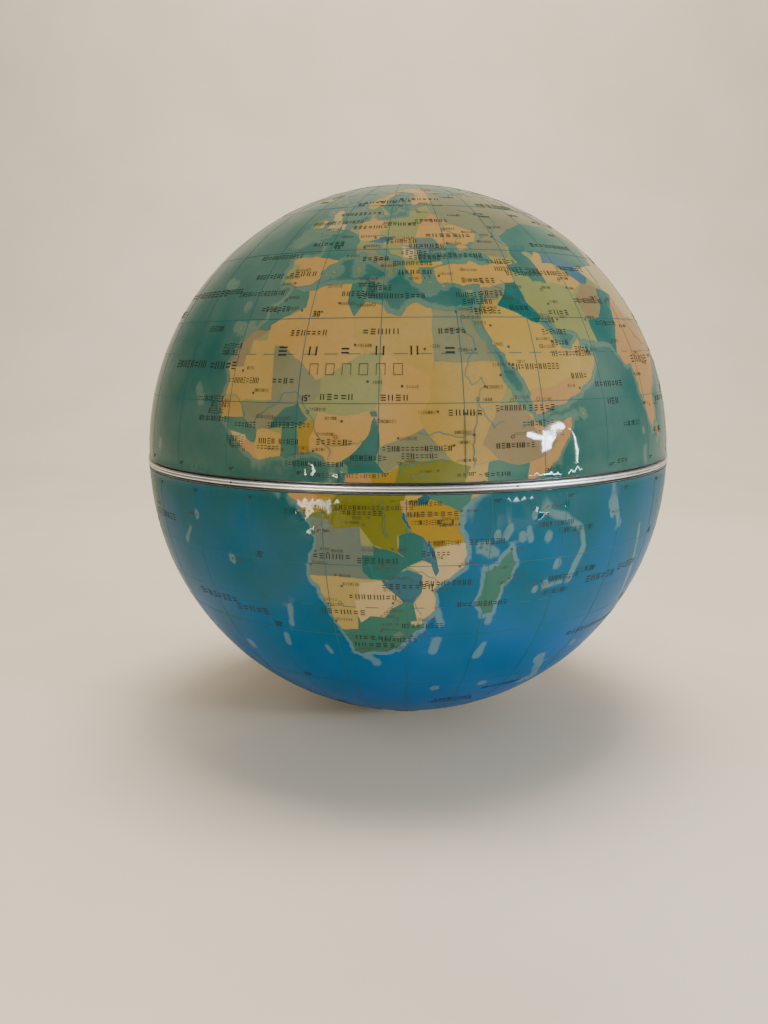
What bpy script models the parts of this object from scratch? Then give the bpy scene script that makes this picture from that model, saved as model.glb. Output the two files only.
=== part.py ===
"""Two-part desk globe: a bowl and a lift-off lid, closed by a bright double-bead ring, on a low swivel foot.

Metres, +Z up. The origin is on the surface the globe stands on, under the poles, and the axis of every turned
piece is the Z axis. The printed halves are hemispheres that stop short of each other, and the ring fills the gap.
"""

import math

import bmesh
import bpy

# ---- driving dimensions ---------------------------------------------------------------------------------------
GLOBE_R = 0.110          # outside of both printed halves
WALL = 0.0018            # moulded wall of the halves
FOOT_RISE = 0.0024       # south pole of the ball above the surface it stands on
RING_HEIGHT = 0.0020     # bright ring, both beads
SEAM_GAP = 0.0008        # dark line on each side of the ring
RING_PROUD = 0.0007      # ring stands out past the ball
RIM_FLARE = 0.0005       # turned-out edge of each half
FIT_GAP = 0.0003         # gap left between faces that touch
RUN_GAP = 0.0004         # running clearance of the lid on its spigot

# ---- heights that follow --------------------------------------------------------------------------------------
LOWER_CENTRE_Z = FOOT_RISE + GLOBE_R
RING_Z = LOWER_CENTRE_Z + SEAM_GAP + RING_HEIGHT / 2
UPPER_CENTRE_Z = RING_Z + RING_HEIGHT / 2 + SEAM_GAP
INNER_R = GLOBE_R - WALL

# ---- collar that joins the ring to the bowl and guides the lid -------------------------------------------------
SPIGOT_RISE = 0.0094     # above the ring's middle
SKIRT_DROP = 0.0120      # below the ring's middle
SPIGOT_R = 0.1054
COLLAR_BORE_R = 0.1036
COLLAR_LEDGE_R = 0.1083  # the bright ring is pressed on outside this
DARK_LINE_R = 0.1093     # outer edge of the thin flanges seen as dark lines
FLANGE_T = 0.00035
RIM_BAND_TOP = 0.0120    # above the ring's middle

# ---- foot -----------------------------------------------------------------------------------------------------
RECESS_R = 0.0186        # pocket in the south pole that hides the foot
RECESS_ROOF_Z = 0.0101
FOOT_R = 0.0170
PAD_T = 0.0012
FOOT_TOP_Z = 0.0060
FOOT_BOSS_TOP_Z = 0.0072
SPINDLE_R = 0.0030
SPINDLE_TOP_Z = 0.0245
SPINDLE_HEAD_R = 0.0064
HEAD_TOP_Z = 0.0041
BUSH_R = 0.0060
BUSH_FLANGE_R = 0.0100

# ---- inside the bowl -------------------------------------------------------------------------------------------
PLATE_R = 0.0200
PLATE_T = 0.0012
RIVET_PITCH_R = 0.0140
RIVET_R = 0.0015
BALLAST_IN_R = 0.0216
BALLAST_OUT_R = 0.0460
BALLAST_TOP_Z = 0.0180
FLOOR_Z = 0.0270         # underside of the floor disc
FLOOR_T = 0.0020
FLOOR_R = 0.0660
PILLAR_R = 0.0040
SCREW_PITCH_R = 0.0330
SCREW_R = 0.0015

LARGE = 64               # facets round the ball and its rings
MEDIUM = 40
SMALL = 24


# ---- helpers ---------------------------------------------------------------------------------------------------
def clear_scene():
    for thing in list(bpy.data.objects):
        bpy.data.objects.remove(thing, do_unlink=True)


def material(name, colour, roughness, metallic=0.0):
    finish = bpy.data.materials.new(name)
    finish.use_nodes = True
    shader = finish.node_tree.nodes["Principled BSDF"]
    shader.inputs["Base Color"].default_value = (*colour, 1.0)
    shader.inputs["Roughness"].default_value = roughness
    shader.inputs["Metallic"].default_value = metallic
    return finish


def add_object(name, mesh, finish, parent, place=(0.0, 0.0, 0.0)):
    piece = bpy.data.objects.new(name, mesh)
    piece.location = place
    piece.parent = parent
    if finish is not None and not mesh.materials:
        mesh.materials.append(finish)
    bpy.context.collection.objects.link(piece)
    return piece


def turned_mesh(name, outline, facets):
    """Spin an (r, z) outline round Z. An outline that starts and ends on the axis is left open there."""
    mesh = bpy.data.meshes.new(name)
    work = bmesh.new()
    points = [work.verts.new((r, 0.0, z)) for r, z in outline]
    edges = [work.edges.new(pair) for pair in zip(points, points[1:])]
    if outline[0][0] > 0.0 or outline[-1][0] > 0.0:
        edges.append(work.edges.new((points[-1], points[0])))
    bmesh.ops.spin(
        work, geom=points + edges, cent=(0, 0, 0), axis=(0, 0, 1), angle=2 * math.pi, steps=facets, use_merge=True
    )
    bmesh.ops.remove_doubles(work, verts=work.verts, dist=1e-6)
    bmesh.ops.recalc_face_normals(work, faces=work.faces)
    work.to_mesh(mesh)
    work.free()
    mesh.shade_smooth()
    mesh.set_sharp_from_angle(angle=math.radians(35))
    return mesh


def turned(name, outline, facets, finish, parent, place=(0.0, 0.0, 0.0)):
    return add_object(name, turned_mesh(name, outline, facets), finish, parent, place)


def arc(radius, centre_z, start_deg, end_deg, steps):
    """Points on a circle about (0, centre_z), from one latitude to another, as (r, z)."""
    angles = [math.radians(start_deg + (end_deg - start_deg) * i / steps) for i in range(steps + 1)]
    return [(round(radius * math.cos(a), 9), centre_z + radius * math.sin(a)) for a in angles]


def sphere_r(radius, centre_z, z):
    """Distance from the axis of a sphere's wall at height z."""
    return math.sqrt(radius * radius - (z - centre_z) ** 2)


def tube_outline(inner, outer, low, high):
    return [(outer, high), (outer, low), (inner, low), (inner, high)]


def hole_cutter(name, radius, pitch_r, low, high, count=3):
    """Upright pins round the axis, used only to cut holes."""
    mesh = bpy.data.meshes.new(name)
    work = bmesh.new()
    for i in range(count):
        turn = 2 * math.pi * i / count
        made = bmesh.ops.create_cone(
            work, cap_ends=True, segments=SMALL // 2, radius1=radius, radius2=radius, depth=high - low
        )
        shift = (pitch_r * math.cos(turn), pitch_r * math.sin(turn), (low + high) / 2)
        bmesh.ops.translate(work, verts=made["verts"], vec=shift)
    work.to_mesh(mesh)
    work.free()
    cutter = bpy.data.objects.new(name, mesh)
    cutter.hide_render = True
    cutter.display_type = "WIRE"
    bpy.context.collection.objects.link(cutter)
    return cutter


def cut(piece, cutter):
    modifier = piece.modifiers.new("cut " + cutter.name, "BOOLEAN")
    modifier.operation = "DIFFERENCE"
    modifier.solver = "EXACT"
    modifier.object = cutter


def ring_of_pieces(name, outline, pitch_r, finish, parent, count=3):
    """The same small turned piece, repeated round the axis as separate objects that share a mesh."""
    mesh = turned_mesh(name, outline, SMALL // 2)
    for i in range(count):
        turn = 2 * math.pi * i / count
        place = (pitch_r * math.cos(turn), pitch_r * math.sin(turn), 0.0)
        add_object(f"{name}_{i + 1}", mesh, finish, parent, place)


def pivot(name, parent=None):
    """An empty on the globe's axis that carries one moving group."""
    empty = bpy.data.objects.new(name, None)
    empty.parent = parent
    bpy.context.collection.objects.link(empty)
    return empty


# ---- foot: stands still ------------------------------------------------------------------------------------------
def make_foot(parent, finish):
    pad_in = SPINDLE_HEAD_R + 0.0026
    turned("foot_pad", tube_outline(pad_in, FOOT_R - 0.0006, 0.0, PAD_T), MEDIUM, finish["rubber"], parent)

    base = PAD_T + FIT_GAP
    pocket_r = SPINDLE_HEAD_R + 0.0010
    pocket_roof = HEAD_TOP_Z + FIT_GAP
    bore = SPINDLE_R + FIT_GAP
    outline = [
        (bore, FOOT_BOSS_TOP_Z),
        (0.0080, FOOT_BOSS_TOP_Z),
        (0.0080, FOOT_TOP_Z),
        (FOOT_R - 0.0010, FOOT_TOP_Z),
        (FOOT_R, FOOT_TOP_Z - 0.0010),
        (FOOT_R, base + 0.0006),
        (FOOT_R - 0.0006, base),
        (pocket_r, base),
        (pocket_r, pocket_roof),
        (bore, pocket_roof),
    ]
    turned("foot_disc", outline, MEDIUM, finish["black"], parent)

    spindle = [
        (0.0, SPINDLE_TOP_Z),
        (SPINDLE_R - 0.0006, SPINDLE_TOP_Z),
        (SPINDLE_R, SPINDLE_TOP_Z - 0.0006),
        (SPINDLE_R, HEAD_TOP_Z),
        (SPINDLE_HEAD_R, HEAD_TOP_Z),
        (SPINDLE_HEAD_R, PAD_T + 0.0004),
        (SPINDLE_HEAD_R - 0.0004, PAD_T),
        (0.0, PAD_T),
    ]
    turned("swivel_spindle", spindle, SMALL, finish["steel"], parent)

    low = FOOT_BOSS_TOP_Z + FIT_GAP
    turned("thrust_washer", tube_outline(bore, 0.0080, low, low + 0.0008), SMALL, finish["nylon"], parent)

    low = bush_top() + FIT_GAP
    turned("top_washer", tube_outline(bore, 0.0080, low, low + 0.0010), SMALL, finish["steel"], parent)
    low += 0.0010 + FIT_GAP
    make_spring_washer(parent, finish, bore, low)
    low += 0.0012 + FIT_GAP
    make_lock_nut(parent, finish, bore, low, 0.0048)


def bush_top():
    return RECESS_ROOF_Z + WALL + FIT_GAP + PLATE_T + 0.0012


def make_spring_washer(parent, finish, bore, low):
    """A dished washer that takes up play under the nut."""
    outline = [(bore, low + 0.0012), (0.0070, low + 0.0006), (0.0070, low), (bore, low + 0.0006)]
    turned("spring_washer", outline, SMALL, finish["steel"], parent)


def make_lock_nut(parent, finish, bore, low, height):
    """A six-sided nut, 10 mm across its flats, with a plain bore."""
    mesh = bpy.data.meshes.new("lock_nut")
    across_corners = 0.0100 / math.cos(math.pi / 6)
    work = bmesh.new()
    bmesh.ops.create_cone(
        work, cap_ends=True, segments=6, radius1=across_corners / 2, radius2=across_corners / 2, depth=height
    )
    bmesh.ops.translate(work, verts=work.verts, vec=(0, 0, low + height / 2))
    work.to_mesh(mesh)
    work.free()
    nut = add_object("lock_nut", mesh, finish["steel"], parent)
    cut(nut, hole_cutter("nut bore", bore, 0.0, low - 0.002, low + height + 0.002, count=1))


# ---- bowl: turns on the foot ---------------------------------------------------------------------------------------
def make_lower_shell(parent, finish):
    rim_z = LOWER_CENTRE_Z
    flare_deg = math.degrees(0.0016 / GLOBE_R)
    edge_deg = math.degrees(math.acos((RECESS_R + 0.0004) / GLOBE_R))
    outside = arc(GLOBE_R, LOWER_CENTRE_Z, -flare_deg, -edge_deg, 10)
    pocket_edge_z = outside[-1][1]
    inner_wall_r = RECESS_R + WALL
    inner_deg = math.degrees(math.acos(inner_wall_r / INNER_R))
    outline = [
        (INNER_R, rim_z),
        (GLOBE_R + RIM_FLARE - 0.0003, rim_z),
        (GLOBE_R + RIM_FLARE, rim_z - 0.0004),
        *outside,
        (RECESS_R, pocket_edge_z + 0.0004),
        (RECESS_R, RECESS_ROOF_Z),
        (BUSH_R + FIT_GAP, RECESS_ROOF_Z),
        (BUSH_R + FIT_GAP, RECESS_ROOF_Z + WALL),
        (inner_wall_r, RECESS_ROOF_Z + WALL),
        *arc(INNER_R, LOWER_CENTRE_Z, -inner_deg, -5.0, 8),
    ]
    shell = turned("lower_shell", outline, LARGE, finish["print"], parent)
    cut(shell, hole_cutter("shell rivet holes", RIVET_R + FIT_GAP, RIVET_PITCH_R, 0.008, 0.014))


def make_pole_bearing(parent, finish):
    bore = SPINDLE_R + 0.0003
    flange_low = FOOT_BOSS_TOP_Z + FIT_GAP + 0.0008 + FIT_GAP
    flange_top = RECESS_ROOF_Z - FIT_GAP
    outline = [
        (bore, bush_top()),
        (BUSH_R, bush_top()),
        (BUSH_R, flange_top),
        (BUSH_FLANGE_R, flange_top),
        (BUSH_FLANGE_R, flange_low),
        (bore, flange_low),
    ]
    turned("pole_bush", outline, SMALL, finish["nylon"], parent)

    plate_low = RECESS_ROOF_Z + WALL + FIT_GAP
    plate_top = plate_low + PLATE_T
    outline = tube_outline(BUSH_R + FIT_GAP, PLATE_R, plate_low, plate_top)
    plate = turned("pole_plate", outline, MEDIUM, finish["steel"], parent)
    cut(plate, hole_cutter("plate rivet holes", RIVET_R + FIT_GAP, RIVET_PITCH_R, 0.011, 0.015))

    head_low = RECESS_ROOF_Z - FIT_GAP - 0.0009
    head_top = plate_top + FIT_GAP + 0.0009
    rivet = [
        (0.0, head_top),
        (RIVET_R + 0.0006, head_top),
        (RIVET_R + 0.0011, head_top - 0.0005),
        (RIVET_R + 0.0011, head_top - 0.0009),
        (RIVET_R, head_top - 0.0009),
        (RIVET_R, head_low + 0.0009),
        (RIVET_R + 0.0011, head_low + 0.0009),
        (RIVET_R + 0.0011, head_low),
        (0.0, head_low),
    ]
    ring_of_pieces("plate_rivet", rivet, RIVET_PITCH_R, finish["steel"], parent)


def make_ballast(parent, finish):
    """A cast ring that lies in the bottom of the bowl, its underside following the wall."""
    under_r = INNER_R - 0.0008
    start = math.degrees(math.acos(BALLAST_OUT_R / under_r))
    end = math.degrees(math.acos(BALLAST_IN_R / under_r))
    outline = [
        (BALLAST_IN_R, BALLAST_TOP_Z),
        (BALLAST_OUT_R, BALLAST_TOP_Z),
        *arc(under_r, LOWER_CENTRE_Z, -start, -end, 4),
    ]
    ballast = turned("ballast_ring", outline, MEDIUM, finish["iron"], parent)
    cut(ballast, hole_cutter("ballast screw holes", SCREW_R + FIT_GAP, SCREW_PITCH_R, 0.004, 0.022))


def make_floor(parent, finish):
    """The flat floor of the bowl stands on three pillars, which a screw each holds down to the ballast."""
    top = FLOOR_Z + FLOOR_T
    outline = [
        (0.0, top),
        (FLOOR_R - 0.0030, top),
        (FLOOR_R - 0.0020, top + 0.0020),
        (FLOOR_R, top + 0.0020),
        (FLOOR_R - 0.0006, FLOOR_Z),
        (0.0, FLOOR_Z),
    ]
    floor = turned("floor_disc", outline, MEDIUM, finish["black"], parent)
    pillars = hole_cutter("floor pillars", PILLAR_R, SCREW_PITCH_R, BALLAST_TOP_Z + FIT_GAP, FLOOR_Z + 0.0005)
    join = floor.modifiers.new("pillars", "BOOLEAN")
    join.operation = "UNION"
    join.solver = "EXACT"
    join.object = pillars
    cut(floor, hole_cutter("floor screw holes", SCREW_R + FIT_GAP, SCREW_PITCH_R, 0.015, 0.032))

    head_low = top + FIT_GAP
    screw = [
        (0.0, head_low + 0.0016),
        (0.0014, head_low + 0.0016),
        (0.0028, head_low + 0.0008),
        (0.0028, head_low),
        (SCREW_R, head_low),
        (SCREW_R, 0.0120),
        (0.0, 0.0105),
    ]
    ring_of_pieces("floor_screw", screw, SCREW_PITCH_R, finish["steel"], parent)


def make_collar(parent, finish):
    """Black ring with a skirt inside the bowl, a thin flange over its rim and a spigot for the lid."""
    ring_low = RING_Z - RING_HEIGHT / 2
    ring_top = RING_Z + RING_HEIGHT / 2
    flange_top = ring_low - 0.00025
    skirt_low = RING_Z - SKIRT_DROP
    skirt_top_r = INNER_R - FIT_GAP
    skirt_low_r = sphere_r(INNER_R, LOWER_CENTRE_Z, skirt_low) - FIT_GAP - 0.0002
    outline = [
        (COLLAR_BORE_R, RING_Z + SPIGOT_RISE),
        (SPIGOT_R - 0.0006, RING_Z + SPIGOT_RISE),
        (SPIGOT_R, RING_Z + SPIGOT_RISE - 0.0008),
        (SPIGOT_R, ring_top),
        (COLLAR_LEDGE_R, ring_top),
        (COLLAR_LEDGE_R, flange_top),
        (DARK_LINE_R, flange_top),
        (DARK_LINE_R, flange_top - FLANGE_T),
        (skirt_top_r, flange_top - FLANGE_T),
        (skirt_low_r, skirt_low),
        (COLLAR_BORE_R, skirt_low),
    ]
    turned("seat_collar", outline, LARGE, finish["black"], parent)


def make_equator_ring(parent, finish):
    """Bright ring with two beads and a fine groove between them."""
    inner = COLLAR_LEDGE_R + FIT_GAP
    outer = GLOBE_R + RING_PROUD
    half = RING_HEIGHT / 2
    bead = half / 2
    base = outer - bead
    outline = [(inner, RING_Z + half)]
    for middle in (RING_Z + bead, RING_Z - bead):
        for i in range(5):
            turn = math.radians(90 - 45 * i)
            outline.append((base + bead * math.cos(turn), middle + 0.96 * bead * math.sin(turn)))
    outline.append((inner, RING_Z - half))
    turned("equator_ring", outline, LARGE, finish["chrome"], parent)


# ---- lid -----------------------------------------------------------------------------------------------------------
def make_slip_ring(parent, finish):
    """Thin black ring that the lid's rim slides on when the lid is turned."""
    low = RING_Z + RING_HEIGHT / 2 + 0.00025
    outline = tube_outline(SPIGOT_R + RUN_GAP, DARK_LINE_R, low, low + FLANGE_T)
    turned("slip_ring", outline, LARGE, finish["black"], parent)


def make_lid(parent, finish):
    rim_z = UPPER_CENTRE_Z
    flare_deg = math.degrees(0.0016 / GLOBE_R)
    outline = [
        *arc(INNER_R, UPPER_CENTRE_Z, 90.0, 5.0, 8),
        (INNER_R, rim_z),
        (GLOBE_R + RIM_FLARE - 0.0003, rim_z),
        (GLOBE_R + RIM_FLARE, rim_z + 0.0004),
        *arc(GLOBE_R, UPPER_CENTRE_Z, flare_deg, 90.0, 10),
    ]
    turned("upper_shell", outline, LARGE, finish["print"], parent)

    low = RING_Z + RING_HEIGHT / 2 + SEAM_GAP + FIT_GAP
    high = RING_Z + RIM_BAND_TOP
    outer_low = INNER_R - FIT_GAP
    outer_high = sphere_r(INNER_R, UPPER_CENTRE_Z, high) - FIT_GAP - 0.0002
    bore = SPIGOT_R + RUN_GAP
    outline = [(bore, high), (outer_high, high), (outer_low, low), (bore, low)]
    turned("lid_rim_band", outline, LARGE, finish["black"], parent)


def finishes():
    return {
        "print": material("printed_shell", (0.09, 0.30, 0.33), 0.25),
        "black": material("black_moulding", (0.02, 0.02, 0.022), 0.45),
        "chrome": material("bright_ring", (0.80, 0.80, 0.80), 0.15, 1.0),
        "steel": material("zinc_steel", (0.60, 0.60, 0.58), 0.35, 1.0),
        "iron": material("cast_iron", (0.12, 0.12, 0.12), 0.60, 1.0),
        "nylon": material("natural_nylon", (0.80, 0.78, 0.70), 0.45),
        "rubber": material("foot_rubber", (0.03, 0.03, 0.03), 0.80),
    }


def build():
    clear_scene()
    finish = finishes()
    foot = pivot("foot_group")
    bowl = pivot("bowl_pivot", foot)
    glide = pivot("lid_lift_guide", bowl)
    lid = pivot("lid_pivot", glide)
    make_foot(foot, finish)
    make_lower_shell(bowl, finish)
    make_pole_bearing(bowl, finish)
    make_ballast(bowl, finish)
    make_floor(bowl, finish)
    make_collar(bowl, finish)
    make_equator_ring(bowl, finish)
    make_slip_ring(glide, finish)
    make_lid(lid, finish)


build()
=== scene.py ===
"""Looks of the two-part desk globe: printed map, gloss coat, bright ring, foot and inside."""

import math
import random

import bmesh
import bpy
import numpy as np
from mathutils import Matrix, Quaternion, Vector, kdtree, noise
from mathutils.geometry import delaunay_2d_cdt


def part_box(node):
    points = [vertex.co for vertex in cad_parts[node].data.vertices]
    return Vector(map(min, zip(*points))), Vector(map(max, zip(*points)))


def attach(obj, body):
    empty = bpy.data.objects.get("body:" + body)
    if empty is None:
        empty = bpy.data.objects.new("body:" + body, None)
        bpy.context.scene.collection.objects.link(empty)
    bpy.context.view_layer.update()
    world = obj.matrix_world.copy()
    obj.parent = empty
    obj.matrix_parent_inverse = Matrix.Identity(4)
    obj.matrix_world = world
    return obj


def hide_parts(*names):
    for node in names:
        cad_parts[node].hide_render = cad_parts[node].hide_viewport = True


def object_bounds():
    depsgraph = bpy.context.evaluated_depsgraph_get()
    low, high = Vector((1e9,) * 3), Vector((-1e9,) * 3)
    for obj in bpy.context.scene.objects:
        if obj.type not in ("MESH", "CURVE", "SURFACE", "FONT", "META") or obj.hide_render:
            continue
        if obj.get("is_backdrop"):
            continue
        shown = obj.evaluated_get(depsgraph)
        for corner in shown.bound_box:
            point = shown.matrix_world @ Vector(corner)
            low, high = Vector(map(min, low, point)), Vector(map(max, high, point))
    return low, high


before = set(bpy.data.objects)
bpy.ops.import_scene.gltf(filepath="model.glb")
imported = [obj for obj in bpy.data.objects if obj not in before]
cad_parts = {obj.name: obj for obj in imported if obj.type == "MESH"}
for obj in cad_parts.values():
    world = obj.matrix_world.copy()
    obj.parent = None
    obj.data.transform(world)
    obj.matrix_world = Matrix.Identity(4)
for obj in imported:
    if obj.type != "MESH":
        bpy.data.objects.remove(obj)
cad_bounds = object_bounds()

# ---- sizes read from the frame -----------------------------------------------------------------
upper_low, upper_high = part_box("upper_shell")
_, lower_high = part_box("lower_shell")
ring_low, ring_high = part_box("equator_ring")
collar_low, collar_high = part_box("seat_collar")
slip_low, slip_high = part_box("slip_ring")
band_low, band_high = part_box("lid_rim_band")

GLOBE_R = upper_high[2] - upper_low[2]
WALL = 0.0018
FLARE = upper_high[0] - GLOBE_R
UPPER_Z = upper_low[2]
LOWER_Z = lower_high[2]
RING_Z = (ring_low[2] + ring_high[2]) / 2
RING_HALF = (ring_high[2] - ring_low[2]) / 2
RING_R = ring_high[0]
MID_Z = RING_Z

# ---- printing ----------------------------------------------------------------------------------
FILM_LIFT = 0.00010      # printed film over the moulded wall
INK_LIFT = 0.00005       # inks over the film
RIM_STEPS = 240
RICHER = 1.14            # saturation of the inks under the gloss coat
DEEPER = 0.50            # share of the light that the inks give back


def srgb(red, green, blue):
    """A colour given as 0-255 screen values, as linear numbers."""
    out = []
    for value in (red, green, blue):
        v = value / 255.0
        out.append(v / 12.92 if v <= 0.04045 else ((v + 0.055) / 1.055) ** 2.4)
    return tuple(out)


def printed(red, green, blue):
    """A map colour, richer and deeper than its screen values, as the lights and coat pale it."""
    colour = srgb(red, green, blue)
    grey = sum(colour) / 3
    return tuple(max(0.0, grey + (value - grey) * RICHER) * DEEPER for value in colour)


TAN = printed(178, 145, 82)
PEACH = printed(188, 149, 88)
SAND = printed(186, 153, 88)
CREAM = printed(190, 166, 122)
DUNE = printed(170, 150, 98)
OCHRE = printed(158, 127, 50)
OLIVE = printed(112, 111, 40)
LIME = printed(140, 140, 88)
GREY_GREEN = printed(126, 125, 94)
SEA_GREEN = printed(63, 110, 95)
TEAL = printed(40, 98, 90)
GREY = printed(104, 114, 102)
MIST = printed(58, 100, 112)
PINK = printed(184, 140, 92)
STONE = printed(142, 122, 88)
ICE = printed(186, 188, 172)
# Tables keyed by side: 1 for the upper, northern half and -1 for the lower, southern half.
# Sea colours near the rim and near the pole. The shift from rim to pole is painted light: it stands for how
# light and reflections fall on each half, lighter at the top of the upper half and a deeper blue towards the
# bottom of the lower half.
SEA_WITH_PAINTED_LIGHT = {       # colour near the rim, colour near the pole
    1: (printed(44, 96, 88), printed(66, 108, 96)),
    -1: (printed(0, 90, 98), printed(0, 106, 172)),
}
SHELF = {1: printed(128, 146, 120), -1: printed(146, 168, 158)}
SHELF_SHARE = {1: 0.42, -1: 0.40}
PLAIN_WALL = srgb(190, 192, 180)
# Darker copies of each half's sea colour for the rolled rim's edge that faces the ring: painted shade in the
# seam.
RIM_SEAM_SHADE = {1: srgb(24, 44, 38), -1: srgb(12, 36, 42)}

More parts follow.
